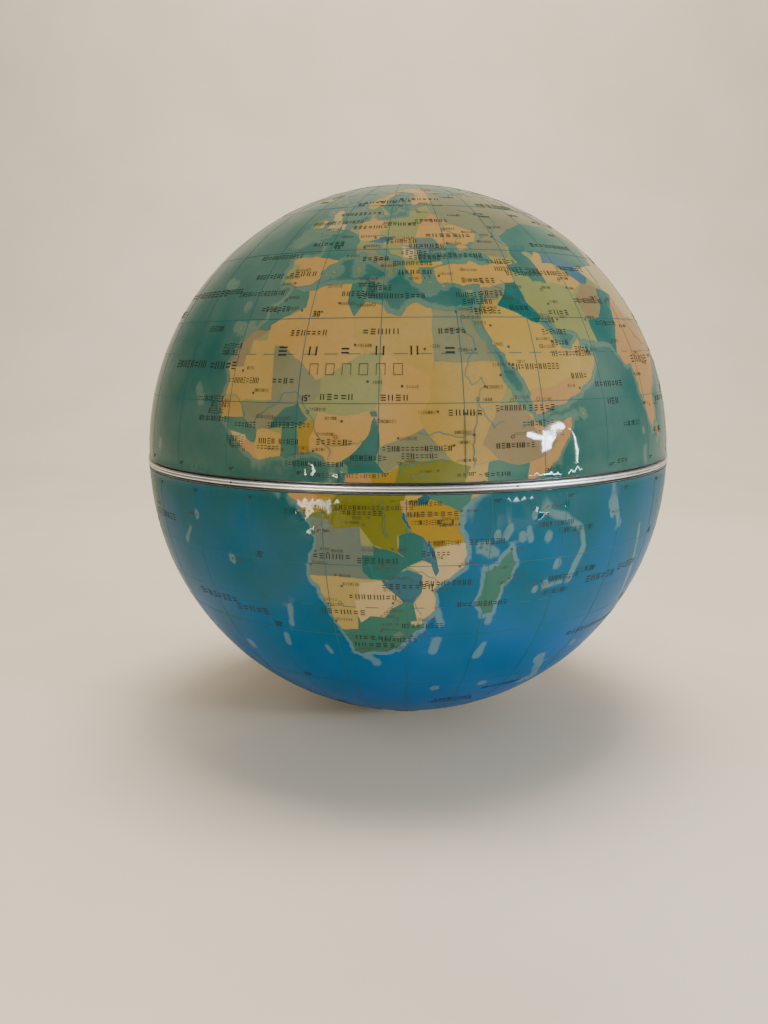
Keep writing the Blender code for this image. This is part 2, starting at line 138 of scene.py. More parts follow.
# ---- the map: outlines as (longitude, latitude) in degrees -------------------------------------
LANDS = {
    "africa": [
        (-5.9, 35.8), (-6.8, 34.0), (-9.8, 31.5), (-9.7, 30.2), (-11.1, 28.8), (-12.9, 27.7), (-14.5, 26.1),
        (-16.0, 23.7), (-17.0, 20.9), (-16.2, 19.2), (-16.5, 16.0), (-17.5, 14.7), (-16.7, 12.4),
        (-15.0, 10.9), (-13.2, 8.6), (-11.4, 6.8), (-9.2, 5.4), (-7.5, 4.4), (-4.0, 5.2), (-2.0, 4.8),
        (1.2, 6.1), (3.4, 6.4), (5.0, 5.8), (6.0, 4.3), (8.5, 4.6), (9.5, 3.9), (9.7, 2.3), (9.3, 0.4),
        (8.8, -0.7), (11.1, -3.9), (12.2, -5.9), (13.2, -8.8), (13.8, -10.7), (12.5, -13.5), (11.8, -16.5),
        (11.8, -18.0), (13.4, -20.8), (14.5, -22.9), (14.9, -25.5), (16.5, -28.6), (17.9, -31.5),
        (18.4, -34.2), (20.0, -34.8), (22.2, -34.1), (25.6, -33.9), (28.0, -32.9), (31.0, -29.9),
        (32.6, -28.4), (32.9, -26.0), (35.4, -24.1), (35.5, -21.5), (34.9, -19.8), (36.9, -17.9),
        (40.5, -15.3), (40.6, -11.0), (39.3, -8.0), (38.9, -6.2), (39.6, -4.1), (42.5, -0.4), (45.4, 2.0),
        (48.0, 4.6), (49.8, 7.9), (51.1, 10.4), (51.2, 11.9), (49.0, 11.3), (44.9, 10.4), (43.2, 11.5),
        (42.8, 12.7), (39.5, 15.6), (37.3, 19.6), (36.9, 22.0), (35.5, 24.0), (34.0, 26.6), (32.7, 29.7),
        (32.9, 30.6), (32.5, 31.2), (30.9, 31.5), (29.9, 31.2), (27.3, 31.4), (25.2, 31.6), (23.1, 32.3),
        (21.7, 32.9), (20.1, 32.1), (19.0, 30.3), (15.6, 31.5), (15.2, 32.4), (13.2, 32.9), (11.1, 33.3),
        (10.1, 34.0), (10.7, 35.2), (11.0, 37.0), (9.8, 37.3), (7.8, 36.9), (5.1, 36.8), (3.0, 36.8),
        (-0.6, 35.7), (-2.9, 35.3), (-5.3, 35.9),
    ],
    "eurasia": [
        (-5.6, 36.0), (-6.4, 36.9), (-8.9, 37.0), (-9.5, 38.8), (-8.8, 41.0), (-9.3, 43.0), (-8.0, 43.7),
        (-4.0, 43.5), (-1.8, 43.4), (-1.2, 46.0), (-2.5, 47.3), (-4.7, 48.2), (-1.9, 48.7), (-1.6, 49.7),
        (0.2, 49.6), (1.6, 50.8), (3.8, 51.5), (4.7, 53.0), (7.0, 53.5), (8.6, 53.9), (8.3, 55.5),
        (8.1, 57.0), (10.6, 57.7), (10.3, 56.4), (9.8, 55.1), (11.0, 54.0), (14.3, 53.9), (18.5, 54.7),
        (21.0, 55.2), (21.1, 57.0), (22.6, 57.7), (24.2, 57.1), (23.6, 58.7), (26.5, 59.5), (30.0, 59.9),
        (28.5, 60.5), (25.0, 60.1), (22.8, 59.9), (21.3, 61.0), (21.5, 63.0), (25.3, 65.0), (22.2, 65.8),
        (20.3, 63.6), (17.4, 61.7), (17.3, 60.7), (18.9, 59.8), (16.7, 58.5), (16.5, 56.7), (14.3, 55.5),
        (12.9, 55.5), (11.8, 57.6), (10.7, 59.4), (8.2, 58.1), (5.6, 58.8), (5.0, 61.0), (8.0, 63.4),
        (10.5, 64.6), (12.8, 66.5), (15.5, 68.5), (19.5, 70.0), (25.8, 71.1), (31.0, 70.3), (35.0, 69.2),
        (41.2, 67.2), (40.0, 66.2), (33.5, 66.8), (34.9, 64.5), (38.0, 64.0), (40.5, 64.6), (40.0, 65.7),
        (43.9, 66.1), (44.2, 68.3), (48.0, 67.6), (54.0, 68.3), (60.5, 69.5), (68.5, 68.3), (66.8, 71.0),
        (70.0, 73.0), (72.8, 71.0), (73.0, 68.0), (75.0, 72.0), (80.5, 73.5), (87.0, 75.0), (98.0, 76.2),
        (104.3, 77.7), (113.0, 75.8), (107.0, 73.2), (113.5, 73.6), (123.0, 73.0), (131.0, 71.0),
        (140.0, 72.5), (152.0, 70.9), (160.5, 69.7), (170.5, 69.7), (180.0, 69.0), (190.2, 66.1),
        (185.0, 64.8), (177.5, 64.6), (179.2, 62.5), (170.3, 60.0), (163.5, 58.5), (162.5, 56.0),
        (160.0, 53.2), (156.7, 51.0), (155.6, 55.0), (157.0, 57.8), (163.5, 62.0), (155.0, 59.4),
        (143.0, 59.3), (137.5, 54.5), (141.2, 53.0), (140.4, 50.0), (138.0, 46.5), (132.0, 43.2),
        (129.7, 41.0), (127.5, 39.5), (129.4, 37.0), (129.0, 35.2), (126.4, 34.5), (126.6, 37.5),
        (124.3, 39.9), (121.2, 39.0), (122.0, 40.8), (118.0, 39.2), (119.0, 37.3), (122.5, 37.2),
        (119.3, 35.0), (121.9, 31.7), (121.8, 29.0), (119.6, 25.9), (117.0, 23.5), (114.2, 22.3),
        (110.5, 21.2), (108.3, 21.6), (105.8, 19.0), (108.8, 15.5), (109.3, 12.0), (107.0, 10.4),
        (104.8, 8.7), (105.0, 10.2), (102.5, 12.2), (100.6, 13.5), (99.3, 10.5), (100.3, 8.3), (103.0, 5.5),
        (104.2, 1.4), (101.0, 3.0), (98.5, 8.0), (98.6, 12.0), (97.6, 16.3), (95.3, 15.8), (94.3, 18.5),
        (92.0, 21.5), (90.5, 22.5), (87.0, 21.4), (85.2, 19.6), (82.3, 16.6), (80.2, 15.0), (80.3, 13.0),
        (79.9, 10.3), (77.6, 8.1), (76.3, 10.0), (74.5, 14.0), (72.8, 19.0), (72.6, 21.2), (70.5, 20.8),
        (69.0, 22.3), (67.0, 24.8), (61.6, 25.2), (57.3, 25.7), (56.6, 27.1), (51.5, 27.8), (50.2, 30.1),
        (48.6, 30.0), (47.9, 29.4), (50.1, 26.6), (50.8, 24.8), (51.3, 26.1), (51.6, 24.3), (54.2, 24.2),
        (56.3, 26.3), (56.6, 24.3), (58.6, 23.6), (59.8, 22.5), (57.8, 19.0), (55.2, 17.5), (52.2, 15.6),
        (48.7, 14.0), (45.0, 12.8), (43.4, 12.7), (42.8, 15.0), (42.6, 16.7), (39.2, 21.5), (37.3, 24.3),
        (35.0, 28.0), (34.9, 29.5), (34.3, 27.8), (32.6, 29.8), (32.3, 31.3), (34.3, 31.3), (35.0, 32.8),
        (35.9, 35.5), (36.1, 36.7), (34.6, 36.7), (32.5, 36.1), (30.6, 36.8), (27.4, 36.7), (26.3, 38.5),
        (26.2, 40.0), (29.0, 40.9), (31.4, 41.3), (35.1, 42.0), (38.5, 41.0), (41.6, 41.6), (39.0, 44.0),
        (36.6, 45.3), (39.3, 47.1), (35.0, 46.2), (36.5, 45.2), (33.6, 44.4), (32.6, 45.6), (33.6, 46.1),
        (30.8, 46.5), (28.7, 44.5), (27.8, 42.6), (28.7, 41.3), (26.8, 40.6), (23.8, 40.3), (22.7, 40.3),
        (23.0, 39.0), (24.0, 37.8), (22.9, 36.5), (21.6, 37.0), (21.3, 38.3), (19.4, 40.5), (19.5, 41.9),
        (16.5, 43.5), (14.5, 45.2), (13.7, 44.9), (13.6, 45.7), (12.3, 45.3), (12.5, 44.2), (13.6, 43.5),
        (16.1, 41.8), (18.5, 40.1), (16.9, 40.5), (17.1, 39.0), (15.7, 38.0), (16.0, 39.5), (13.0, 41.2),
        (11.1, 42.4), (10.2, 43.9), (8.9, 44.4), (7.4, 43.7), (4.8, 43.4), (3.1, 43.1), (3.2, 41.9),
        (0.9, 41.0), (-0.3, 39.4), (0.2, 38.7), (-0.7, 37.7), (-2.1, 36.8), (-4.4, 36.7),
    ],
    "north_america": [
        (-168.0, 65.7), (-162.0, 66.6), (-166.5, 68.4), (-156.6, 71.3), (-141.0, 69.6), (-127.5, 70.5),
        (-115.0, 68.6), (-95.0, 68.0), (-94.5, 71.8), (-88.0, 68.5), (-82.0, 69.5), (-82.0, 67.4),
        (-87.0, 65.0), (-94.0, 61.0), (-94.5, 58.8), (-92.5, 57.0), (-85.5, 55.3), (-82.0, 52.8),
        (-80.0, 51.3), (-79.0, 54.0), (-77.0, 56.0), (-78.5, 58.8), (-77.5, 62.4), (-70.0, 61.2),
        (-69.5, 59.0), (-64.6, 60.3), (-61.5, 56.5), (-56.0, 52.8), (-60.0, 50.2), (-66.5, 50.2),
        (-70.5, 47.0), (-65.0, 48.8), (-64.5, 46.2), (-61.0, 45.8), (-66.0, 43.6), (-67.0, 44.9),
        (-70.2, 43.5), (-70.0, 41.8), (-74.0, 40.6), (-76.0, 35.3), (-81.0, 31.5), (-80.1, 26.8),
        (-80.6, 25.2), (-82.8, 28.0), (-84.5, 30.0), (-89.5, 30.2), (-90.0, 29.1), (-94.5, 29.5),
        (-97.3, 27.5), (-97.8, 22.3), (-96.0, 19.2), (-94.0, 18.2), (-91.5, 18.6), (-90.4, 21.0),
        (-87.0, 21.5), (-88.0, 18.0), (-88.8, 15.8), (-83.3, 15.0), (-83.7, 11.0), (-79.5, 9.6),
        (-77.4, 8.6), (-77.9, 7.3), (-80.3, 7.4), (-85.8, 10.2), (-87.7, 13.0), (-94.8, 16.2),
        (-99.7, 16.8), (-105.5, 20.2), (-105.8, 22.5), (-109.4, 25.6), (-112.8, 30.5), (-114.7, 31.6),
        (-111.5, 26.4), (-109.5, 23.1), (-112.2, 26.0), (-115.0, 28.5), (-117.1, 32.5), (-120.6, 34.6),
        (-122.5, 37.8), (-124.3, 40.4), (-124.0, 46.2), (-124.6, 48.4), (-127.5, 51.0), (-130.3, 54.6),
        (-134.0, 58.3), (-139.0, 59.9), (-146.0, 60.8), (-151.5, 59.2), (-158.0, 56.5), (-163.5, 54.9),
        (-158.0, 58.5), (-165.5, 61.5), (-161.0, 64.4),
    ],
    "south_america": [
        (-77.4, 8.6), (-75.6, 10.6), (-72.0, 12.2), (-71.3, 11.0), (-68.0, 11.6), (-64.0, 10.5),
        (-61.9, 10.7), (-60.0, 8.3), (-57.0, 6.0), (-51.7, 4.2), (-50.0, 0.5), (-48.0, -0.7), (-44.3, -2.6),
        (-39.0, -3.2), (-35.2, -5.3), (-34.9, -8.2), (-38.5, -13.0), (-39.1, -17.8), (-41.0, -22.0),
        (-44.0, -23.1), (-48.5, -26.0), (-48.7, -28.6), (-53.5, -33.8), (-58.4, -34.2), (-57.0, -36.5),
        (-62.0, -39.0), (-65.0, -41.0), (-63.7, -42.6), (-67.5, -46.0), (-65.8, -47.8), (-69.0, -51.0),
        (-68.3, -52.4), (-65.2, -54.8), (-71.0, -55.0), (-75.0, -51.5), (-75.5, -46.8), (-73.0, -42.0),
        (-73.5, -37.2), (-71.5, -31.0), (-70.3, -23.5), (-70.3, -18.4), (-76.2, -13.8), (-79.8, -7.2),
        (-81.3, -4.7), (-80.0, -2.9), (-80.9, -1.0), (-79.0, 1.4), (-77.4, 4.0), (-77.9, 7.3),
    ],
    "australia": [
        (114.2, -22.0), (113.4, -25.5), (115.0, -30.0), (115.0, -34.3), (118.0, -35.0), (123.5, -33.9),
        (129.0, -31.7), (131.2, -31.5), (134.5, -33.0), (135.7, -34.9), (137.8, -32.8), (138.0, -35.6),
        (140.0, -37.5), (143.5, -38.8), (146.4, -39.1), (150.0, -37.4), (151.3, -33.8), (153.0, -31.0),
        (153.4, -28.0), (152.9, -25.3), (149.5, -22.3), (146.3, -18.9), (145.4, -15.0), (143.5, -14.3),
        (142.5, -10.8), (141.6, -13.5), (140.8, -17.5), (139.0, -17.0), (135.5, -15.0), (136.8, -12.2),
        (132.6, -11.4), (130.6, -12.6), (129.5, -15.0), (126.0, -14.2), (122.2, -17.5), (116.7, -20.7),
    ],
    "antarctica": [
        (0, -70), (20, -70), (40, -69), (55, -66), (70, -68.5), (80, -68), (95, -66.5), (110, -66),
        (130, -66), (145, -67), (160, -70), (167, -72), (165, -78), (180, -78.5), (200, -78), (210, -76.5),
        (230, -74.5), (250, -75), (260, -73), (280, -73), (290, -72), (293, -67), (302, -63.3), (300, -66),
        (298, -70), (299, -75), (315, -78), (330, -76), (340, -73.5), (350, -71),
    ],
    "greenland": [
        (-73, 78.2), (-68, 80.2), (-60, 82), (-40, 83.4), (-22, 82.2), (-12, 81.3), (-20, 77), (-19, 74),
        (-22, 71.5), (-26, 68.7), (-33, 67.5), (-40, 65), (-43, 60.2), (-50, 62.5), (-53.5, 66.5),
        (-54, 70), (-57, 74), (-66, 76),
    ],
    "madagascar": [
        (49.3, -12.0), (50.5, -15.5), (49.5, -18.0), (47.1, -24.9), (45.2, -25.5), (43.5, -22.5),
        (44.4, -20.0), (44.3, -16.4), (47.2, -15.2),
    ],
    "great_britain": [
        (-5.6, 50.1), (1.3, 51.1), (1.7, 52.6), (0.3, 53.1), (-1.5, 55.1), (-2.1, 57.6), (-3.1, 58.6),
        (-5.0, 58.6), (-5.8, 57.0), (-4.9, 54.9), (-3.0, 54.0), (-4.4, 52.6), (-5.2, 51.8), (-3.0, 51.3),
    ],
    "ireland": [(-6.2, 53.4), (-6.4, 52.2), (-9.9, 51.6), (-10.0, 54.2), (-8.3, 55.1), (-5.6, 54.4)],
    "iceland": [(-24.0, 65.5), (-22.0, 66.4), (-14.6, 65.9), (-13.6, 64.9), (-18.5, 63.4), (-22.6, 63.9)],
    "sicily": [(15.5, 38.2), (15.1, 36.7), (12.5, 37.8)],
    "sardinia": [(9.3, 41.2), (9.6, 39.2), (8.6, 38.9), (8.3, 40.7)],
    "corsica": [(9.4, 43.0), (9.2, 41.5), (8.6, 42.3)],
    "crete": [(23.6, 35.6), (26.2, 35.3), (24.8, 34.9)],
    "cyprus": [(32.4, 35.1), (34.5, 35.6), (33.4, 34.6)],
    "spitsbergen": [(11, 79), (17, 80), (26, 80), (21, 78.2), (17, 76.7)],
    "novaya_zemlya": [(52, 71.5), (56, 74), (68, 77), (60, 75.5), (57, 71)],
    "baffin": [
        (-61.5, 66.5), (-65, 62.5), (-72, 64), (-78, 64.7), (-73, 68), (-89, 70.5), (-85, 73.7),
        (-76, 72.8), (-68, 70.3),
    ],
    "victoria_island": [(-117, 69.9), (-105, 68.8), (-101.5, 70), (-105, 72.8), (-117, 73)],
    "ellesmere": [(-90, 76.5), (-78, 76.5), (-64, 82.4), (-75, 83), (-91, 81.5)],
    "newfoundland": [(-59.3, 47.7), (-55.5, 51.5), (-52.8, 47.5), (-55.8, 46.9)],
    "cuba": [(-84.9, 21.9), (-82, 23.1), (-77, 22), (-74.2, 20.2), (-77.7, 19.9), (-79, 21.6)],
    "hispaniola": [(-74.4, 18.4), (-73, 19.9), (-68.4, 18.6), (-71.5, 17.7)],
    "sri_lanka": [(79.8, 9.4), (81.9, 7.2), (80.6, 6.0), (79.9, 7.5)],
    "sumatra": [(95.3, 5.6), (98, 4.2), (103.8, -0.6), (105.9, -5.8), (103.2, -4.8), (100.4, -1.0)],
    "java": [(105.2, -6.8), (108.6, -6.7), (114.4, -7.7), (114.3, -8.6), (108, -7.8)],
    "borneo": [
        (109, 1.5), (111.5, 2.7), (116.7, 7), (119, 5.2), (117.6, 2), (116.3, -3.9), (114.5, -4.1),
        (110.2, -2.9),
    ],
    "sulawesi": [
        (119.5, -5.5), (119, -3), (120, 0.8), (125, 1.5), (121, 0.2), (123.2, -0.9), (121.5, -2),
        (122.5, -5),
    ],
    "new_guinea": [
        (131, -0.8), (134, -0.9), (135, -3.3), (141, -2.6), (145.8, -5.4), (147.8, -6), (150.8, -10.3),
        (147, -9.5), (143, -8.6), (139, -8.1), (137.8, -5), (133, -4),
    ],
    "luzon": [(120.6, 18.5), (122.3, 18.4), (121.7, 15.9), (124.1, 12.6), (120.6, 13.8), (119.9, 16.3)],
    "mindanao": [(122, 7), (125.4, 9.8), (126.5, 7.3), (125.4, 5.7)],
    "taiwan": [(121, 25.2), (121.9, 24.9), (120.8, 22), (120.1, 23.3)],
    "hainan": [(108.7, 19.3), (110.9, 20), (109.5, 18.2)],
    "honshu": [
        (129.8, 33.2), (131, 34.4), (133, 35.6), (136, 35.7), (137, 37.4), (140, 40), (141, 41.4),
        (142, 39.6), (140.8, 35.7), (138.8, 34.7), (135.8, 33.5), (131.9, 33), (130.7, 31.1),
    ],
    "hokkaido": [(140, 41.6), (141.7, 45.4), (145.3, 43.3), (143.2, 42)],
    "sakhalin": [(142, 46), (141.9, 51), (142.7, 54.3), (143.4, 50.5)],
    "tasmania": [(144.7, -40.8), (148.3, -40.9), (147.9, -43.2), (146, -43.5)],
    "north_island": [
        (172.7, -34.5), (175.5, -36.8), (178.4, -37.7), (175.3, -41.5), (173.8, -39.3), (174.7, -37.5),
    ],
    "south_island": [
        (172.7, -40.6), (174.3, -41.7), (170.7, -45.9), (168.5, -46.6), (166.5, -45.8), (170, -43.2),
    ],
}
LAKES = {
    "caspian": [
        (48.5, 46.2), (53.0, 46.8), (53.0, 45.0), (51.0, 44.5), (52.8, 42.5), (53.5, 40.5), (53.9, 37.2),
        (50.0, 37.5), (49.2, 40.0), (47.2, 44.3),
    ],
    "aral": [(58.5, 45.5), (61, 46.5), (61, 44.5), (58.8, 43.8)],
    "victoria": [(31.8, -0.9), (33.2, 0.3), (34.2, -0.8), (33.6, -2.3), (31.9, -2.6)],
    "tanganyika": [(29.2, -3.5), (29.8, -5.6), (31.0, -8.6), (30.2, -7.4), (29.1, -5.2)],
    "malawi": [(34.0, -9.6), (34.8, -12.0), (35.2, -14.2), (34.4, -13.2), (34.0, -11.2)],
    "chad": [(13.4, 13.6), (14.6, 13.8), (14.8, 12.8), (13.8, 12.8)],
    "baikal": [(104, 51.6), (108, 53), (109.8, 55.6), (107, 53.4)],
    "superior": [(-92, 46.8), (-88.5, 48.6), (-84.8, 46.8), (-88, 46.9)],
    "michigan": [(-87.6, 41.8), (-86.3, 42.3), (-85.3, 45.6), (-87.8, 44.2)],
    "huron": [(-84, 45.9), (-80.2, 45), (-82.3, 43.2), (-83.4, 44.2)],
}

# Land areas by colour. Only the inland sides matter, as the coast cuts off the rest.
# Later ones are painted over earlier ones.
AREAS = [
    (LIME, [(-15, 72), (60, 72), (60, 35), (-15, 35)]),  # Europe
    (GREY_GREEN, [  # Russia
        (27, 72), (190, 79), (195, 60), (140, 42), (130, 42.5), (131, 48), (120, 50), (117, 49.7), (98, 51),
        (87, 49.5), (80, 50.8), (73, 54), (61, 54), (52, 51.5), (48, 50), (47, 48), (46, 43), (40, 43.4),
        (36, 44.5), (38.5, 47.5), (40, 49.5), (34, 52.2), (31, 53.2), (31, 55.7), (28, 56.5), (27.7, 60),
        (30, 62), (29, 69.3),
    ]),
    (SEA_GREEN, [  # Kazakhstan
        (47, 49), (52, 51.5), (61, 54), (73, 54), (80, 50.8), (87, 49), (80, 42.5), (68, 41.5), (56, 42),
        (53, 45), (48, 46),
    ]),
    (PEACH, [(52, 42), (56, 45.2), (60, 42.3), (66, 37.5), (61, 35.4), (54, 37.2)]),  # Turkmenistan
    (MIST, [(56, 42), (58, 45.4), (67, 43), (73, 40.5), (68, 37.2), (66.5, 37.4), (60, 42)]),  # Uzbekistan
    (CREAM, [
        (68, 41.5), (80, 42.5), (87, 49), (98, 43), (105, 42), (112, 44), (119, 47), (120, 53), (126, 52.5),
        (135, 48), (131, 42.5), (124, 40), (126, 20), (107, 20), (101, 21.5), (97, 28), (80, 30.5),
        (74, 37.5),
    ]),
    (LIME, [(87, 49), (98, 51), (117, 49.7), (119, 47), (112, 44), (105, 42), (98, 43)]),  # Mongolia
    (SEA_GREEN, [(124, 39.9), (131, 42.5), (131, 33), (125, 33)]),
    (PINK, [(128, 30), (146, 46), (146, 38), (136, 30)]),
    (TAN, [(92, 21), (97.5, 28), (101, 21.5), (98.5, 17), (98, 9.5), (93, 9)]),  # Myanmar
    (LIME, [(97.5, 18), (101, 20.5), (105, 16), (103, 11), (102, 6), (98, 6), (98.8, 14)]),  # Thailand
    (PINK, [(101, 22), (107, 21.5), (112, 14), (104, 6), (105.5, 16)]),  # Vietnam
    (OCHRE, [(94, 7), (120, 8), (142, 1), (141, -9.4), (105, -11), (94, 2)]),  # Indonesia
    (SEA_GREEN, [(141, 0), (156, 0), (156, -12), (141, -12)]),
    (PEACH, [(118, 20), (128, 20), (128, 4), (118, 9)]),
    (PINK, [
        (68, 23), (71, 28), (74, 33), (78, 35.5), (80, 30.5), (88, 27.2), (97, 28), (92, 22), (88, 4),
        (68, 4),
    ]),
    (TEAL, [
        (61, 24), (61, 29.5), (66, 30.5), (70, 34), (72, 36.7), (78, 35.5), (74, 32.5), (71, 27.5),
        (68, 23),
    ]),
    (STONE, [(60.6, 34), (66, 37.5), (72, 37), (70, 33.5), (66, 30), (61, 29.6)]),  # Afghanistan
    (LIME, [  # Iran
        (44.3, 39.6), (48.5, 38.8), (54, 37.3), (60.5, 36.8), (61.5, 31), (62.5, 25), (52, 25.8),
        (48.5, 29.6), (46, 32.5), (45.4, 35.8),
    ]),
    (TEAL, [  # Iraq
        (42.3, 37.2), (44.9, 37.2), (45.6, 35.6), (46, 33), (48.7, 30), (47.5, 28.9), (46, 29.2),
        (42.2, 31.2), (39, 32.3), (41.3, 34.7),
    ]),
    (GREY_GREEN, [(35.5, 36), (42.3, 37.2), (41.2, 34.5), (38.7, 33), (35.7, 32.6)]),  # Syria
    (SEA_GREEN, [(34, 34.8), (36.4, 34.5), (35.6, 32), (35, 29.4), (34, 31)]),
    (TAN, [(35.6, 32.6), (39, 33.3), (39, 31.6), (37, 30.4), (36, 29), (34.9, 29.4)]),  # Jordan
    (PEACH, [(25.6, 42), (30, 42.5), (44.8, 41), (44.8, 37.3), (36, 35.9), (26, 35.6)]),  # Turkey
    (PEACH, [(39, 43.6), (46.5, 41.9), (44.9, 40.8), (41, 41.4)]),
    (SEA_GREEN, [(44.6, 41.2), (48.5, 41.9), (50.5, 40.2), (48.6, 38.5), (45, 39.8)]),
    (SAND, [  # Saudi Arabia
        (34.8, 29.4), (37, 30.3), (39, 32), (42, 31.1), (46, 29), (48.5, 28.4), (51.3, 24.6), (55.8, 22.4),
        (55, 20), (52, 19), (47.4, 17.2), (43.2, 17.2), (42, 16), (33, 27),
    ]),
    (PINK, [(43.2, 17.3), (47.4, 17.1), (52, 19), (53.4, 16.4), (50, 11), (42, 12)]),  # Yemen
    (TAN, [(52, 19), (55, 20), (55.8, 22.6), (56, 27), (61, 24), (60, 17), (53.3, 15)]),  # Oman
    (PEACH, [(51.4, 24.5), (52.5, 22.8), (55.6, 22.7), (56.4, 26.4), (54, 24.6)]),
    (PEACH, [
        (-10, 44.5), (-1.7, 43.3), (3.4, 42.4), (1, 38), (-6, 35.9), (-7.4, 37.2), (-6.9, 41.9), (-10, 42),
    ]),
    (LIME, [(-10, 41.9), (-6.6, 41.9), (-7.3, 37), (-10, 36.6)]),  # Portugal
    (SEA_GREEN, [
        (-6, 49), (2.5, 51.2), (6, 49.5), (8.2, 49), (7, 46), (7.6, 43.8), (3.2, 42.4), (-1.8, 43.2),
    ]),
    (GREY_GREEN, [(7, 46), (14, 46.6), (14, 45), (19, 41), (18, 36), (8, 38), (7.5, 43.7)]),  # Italy
    (PEACH, [
        (6, 51), (7, 54), (14.2, 54.6), (14.8, 51), (12.3, 50.2), (13.5, 48.6), (10, 47.4), (7.5, 47.6),
    ]),
    (CREAM, [(-7, 49.5), (3, 51), (2, 60), (-8, 60)]),  # Great Britain
    (LIME, [(14.2, 54), (23.6, 54.5), (24, 50.5), (19, 49.3), (15, 50.8)]),  # Poland
    (MIST, [(9.5, 47), (17, 49), (17, 47.8), (13.5, 46.6)]),
    (LIME, [(12.2, 50.3), (18.8, 49.4), (22.4, 49), (17, 48), (13, 48.7)]),
    (PINK, [(16.2, 48), (22.5, 48.4), (20.5, 46), (16.5, 46.4)]),
    (GREY, [(22.5, 48), (28.2, 48), (28.8, 43.8), (22.7, 44)]),  # Romania
    (SEA_GREEN, [(22.6, 44), (28.8, 43.7), (28, 41.8), (23, 41.4)]),
    (CREAM, [(18.9, 46), (22.6, 44.5), (22.3, 42.3), (19.2, 42.9)]),
    (TAN, [(20, 41), (26.4, 41.7), (25, 35), (20, 37)]),  # Greece
    (PEACH, [(22.5, 48.3), (24, 52), (34, 52.3), (40, 49.8), (38.3, 47), (33, 43.8), (30, 45), (27, 48.3)]),
    (PINK, [(23.5, 52), (28, 56), (32.4, 53.2), (31, 52)]),  # Belarus
    (TAN, [
        (4, 58), (4, 62), (15, 69), (25, 71.5), (31, 70.5), (26, 69.5), (18, 68.2), (13, 64), (12, 60),
        (10, 58),
    ]),
    (SEA_GREEN, [(11.5, 59), (13, 64), (18, 68.2), (24, 66), (19, 60), (16, 55)]),
    (PEACH, [(21, 69.5), (29, 69.8), (31.5, 62.8), (28, 60), (22, 59.5), (24, 66)]),  # Finland
    (PEACH, [  # Algeria
        (-9, 27.6), (-8.6, 28.8), (-1.5, 32), (-2, 35.8), (8.5, 38), (7.8, 33), (9.4, 30), (10, 26.2),
        (12, 23.5), (3.2, 19), (1, 21), (-4.8, 25), (-8.6, 27.3),
    ]),
    (SEA_GREEN, [(-12, 28), (-8.6, 27.8), (-8.6, 28.9), (-1.3, 32.2), (-1.8, 35.8), (-7, 37), (-12, 32)]),
    (STONE, [(-18, 20.8), (-13, 21.3), (-12, 26), (-8.7, 27.6), (-12.4, 28.2), (-18, 26)]),
    (SEA_GREEN, [(7.6, 33.2), (8.4, 38), (12, 38), (11.6, 33), (9.4, 30.2)]),  # Tunisia
    (TAN, [
        (9.4, 30.2), (11.6, 33.2), (16, 35), (25, 33), (25, 20), (24, 19.5), (15.8, 23.4), (12, 23.5),
        (10, 26.3),
    ]),
    (GREY_GREEN, [(25, 33), (35, 33), (34.9, 29.5), (37, 22), (25, 22)]),  # Egypt
    (SAND, [  # Mauritania
        (-18, 21), (-13, 21.2), (-13, 23.4), (-12, 23.5), (-12, 26), (-8.7, 26), (-8.7, 27.3), (-4.9, 25),
        (-6.5, 24.9), (-5.4, 15.5), (-11.5, 15.4), (-12.5, 14.9), (-14.5, 16.6), (-18, 16.2),
    ]),
    (GREY_GREEN, [  # Mali
        (-6.5, 25), (-4.8, 25), (1, 21), (3.2, 19), (4.2, 19), (4.2, 16.5), (3.4, 15.4), (0, 15),
        (-2.5, 14.2), (-4.5, 12), (-5.5, 10.4), (-8, 10.2), (-11.4, 12.2), (-12.2, 14.8), (-5.4, 15.5),
    ]),
    (LIME, [  # Niger
        (4.2, 19.2), (7.5, 20.9), (12, 23.5), (15.8, 23.2), (15.5, 17), (13.5, 13.8), (9, 12.9), (4, 13.5),
        (3.5, 11.8), (0.5, 14.7), (3.5, 15.5), (4.2, 16.5),
    ]),
    (PEACH, [  # Chad
        (15, 22.9), (16, 23.4), (24, 19.5), (24, 15.7), (22, 12.8), (22.8, 10.9), (18.9, 9), (15.4, 7.5),
        (14.1, 13), (15.5, 17),
    ]),
    (TAN, [  # Sudan
        (24, 19.8), (25, 20), (25, 22), (37, 22), (39, 18), (36.4, 14.4), (34.2, 10.6), (34, 8.2),
        (35.9, 4.6), (30.8, 3.6), (27.4, 5), (24, 8.7), (22, 12.7), (24, 15.7),
    ]),
    (LIME, [(36.4, 14.3), (38.5, 18.2), (43.3, 12.4), (40, 14.5)]),  # Eritrea
    (STONE, [  # Ethiopia
        (36.4, 14.3), (40, 14.5), (42.4, 12.4), (42.8, 10.8), (44, 9), (48, 8), (45, 4.9), (42, 4),
        (39.5, 3.5), (35.9, 4.7), (33, 7.8), (34.3, 10.6),
    ]),
    (PINK, [
        (42.6, 11), (44, 9), (48, 8), (45, 5), (42, 4), (41, 2.8), (41, -1), (44, -1), (53, 12), (43, 12),
    ]),
    (TAN, [(-18, 16.3), (-14.5, 16.7), (-12.2, 14.8), (-11.4, 12.4), (-18, 12.3)]),  # Senegal
    (SEA_GREEN, [
        (-18, 12.3), (-11.4, 12.4), (-8, 10.2), (-7.8, 8), (-9.5, 7.6), (-10.6, 9), (-13.5, 9.8), (-16, 10),
    ]),
    (CREAM, [(-14.5, 9.6), (-10.6, 9.2), (-10.3, 8.2), (-12, 6.5)]),  # Sierra Leone
    (PINK, [(-12, 6.8), (-10.2, 8.4), (-8.4, 7.4), (-7.6, 4), (-12, 4)]),  # Liberia
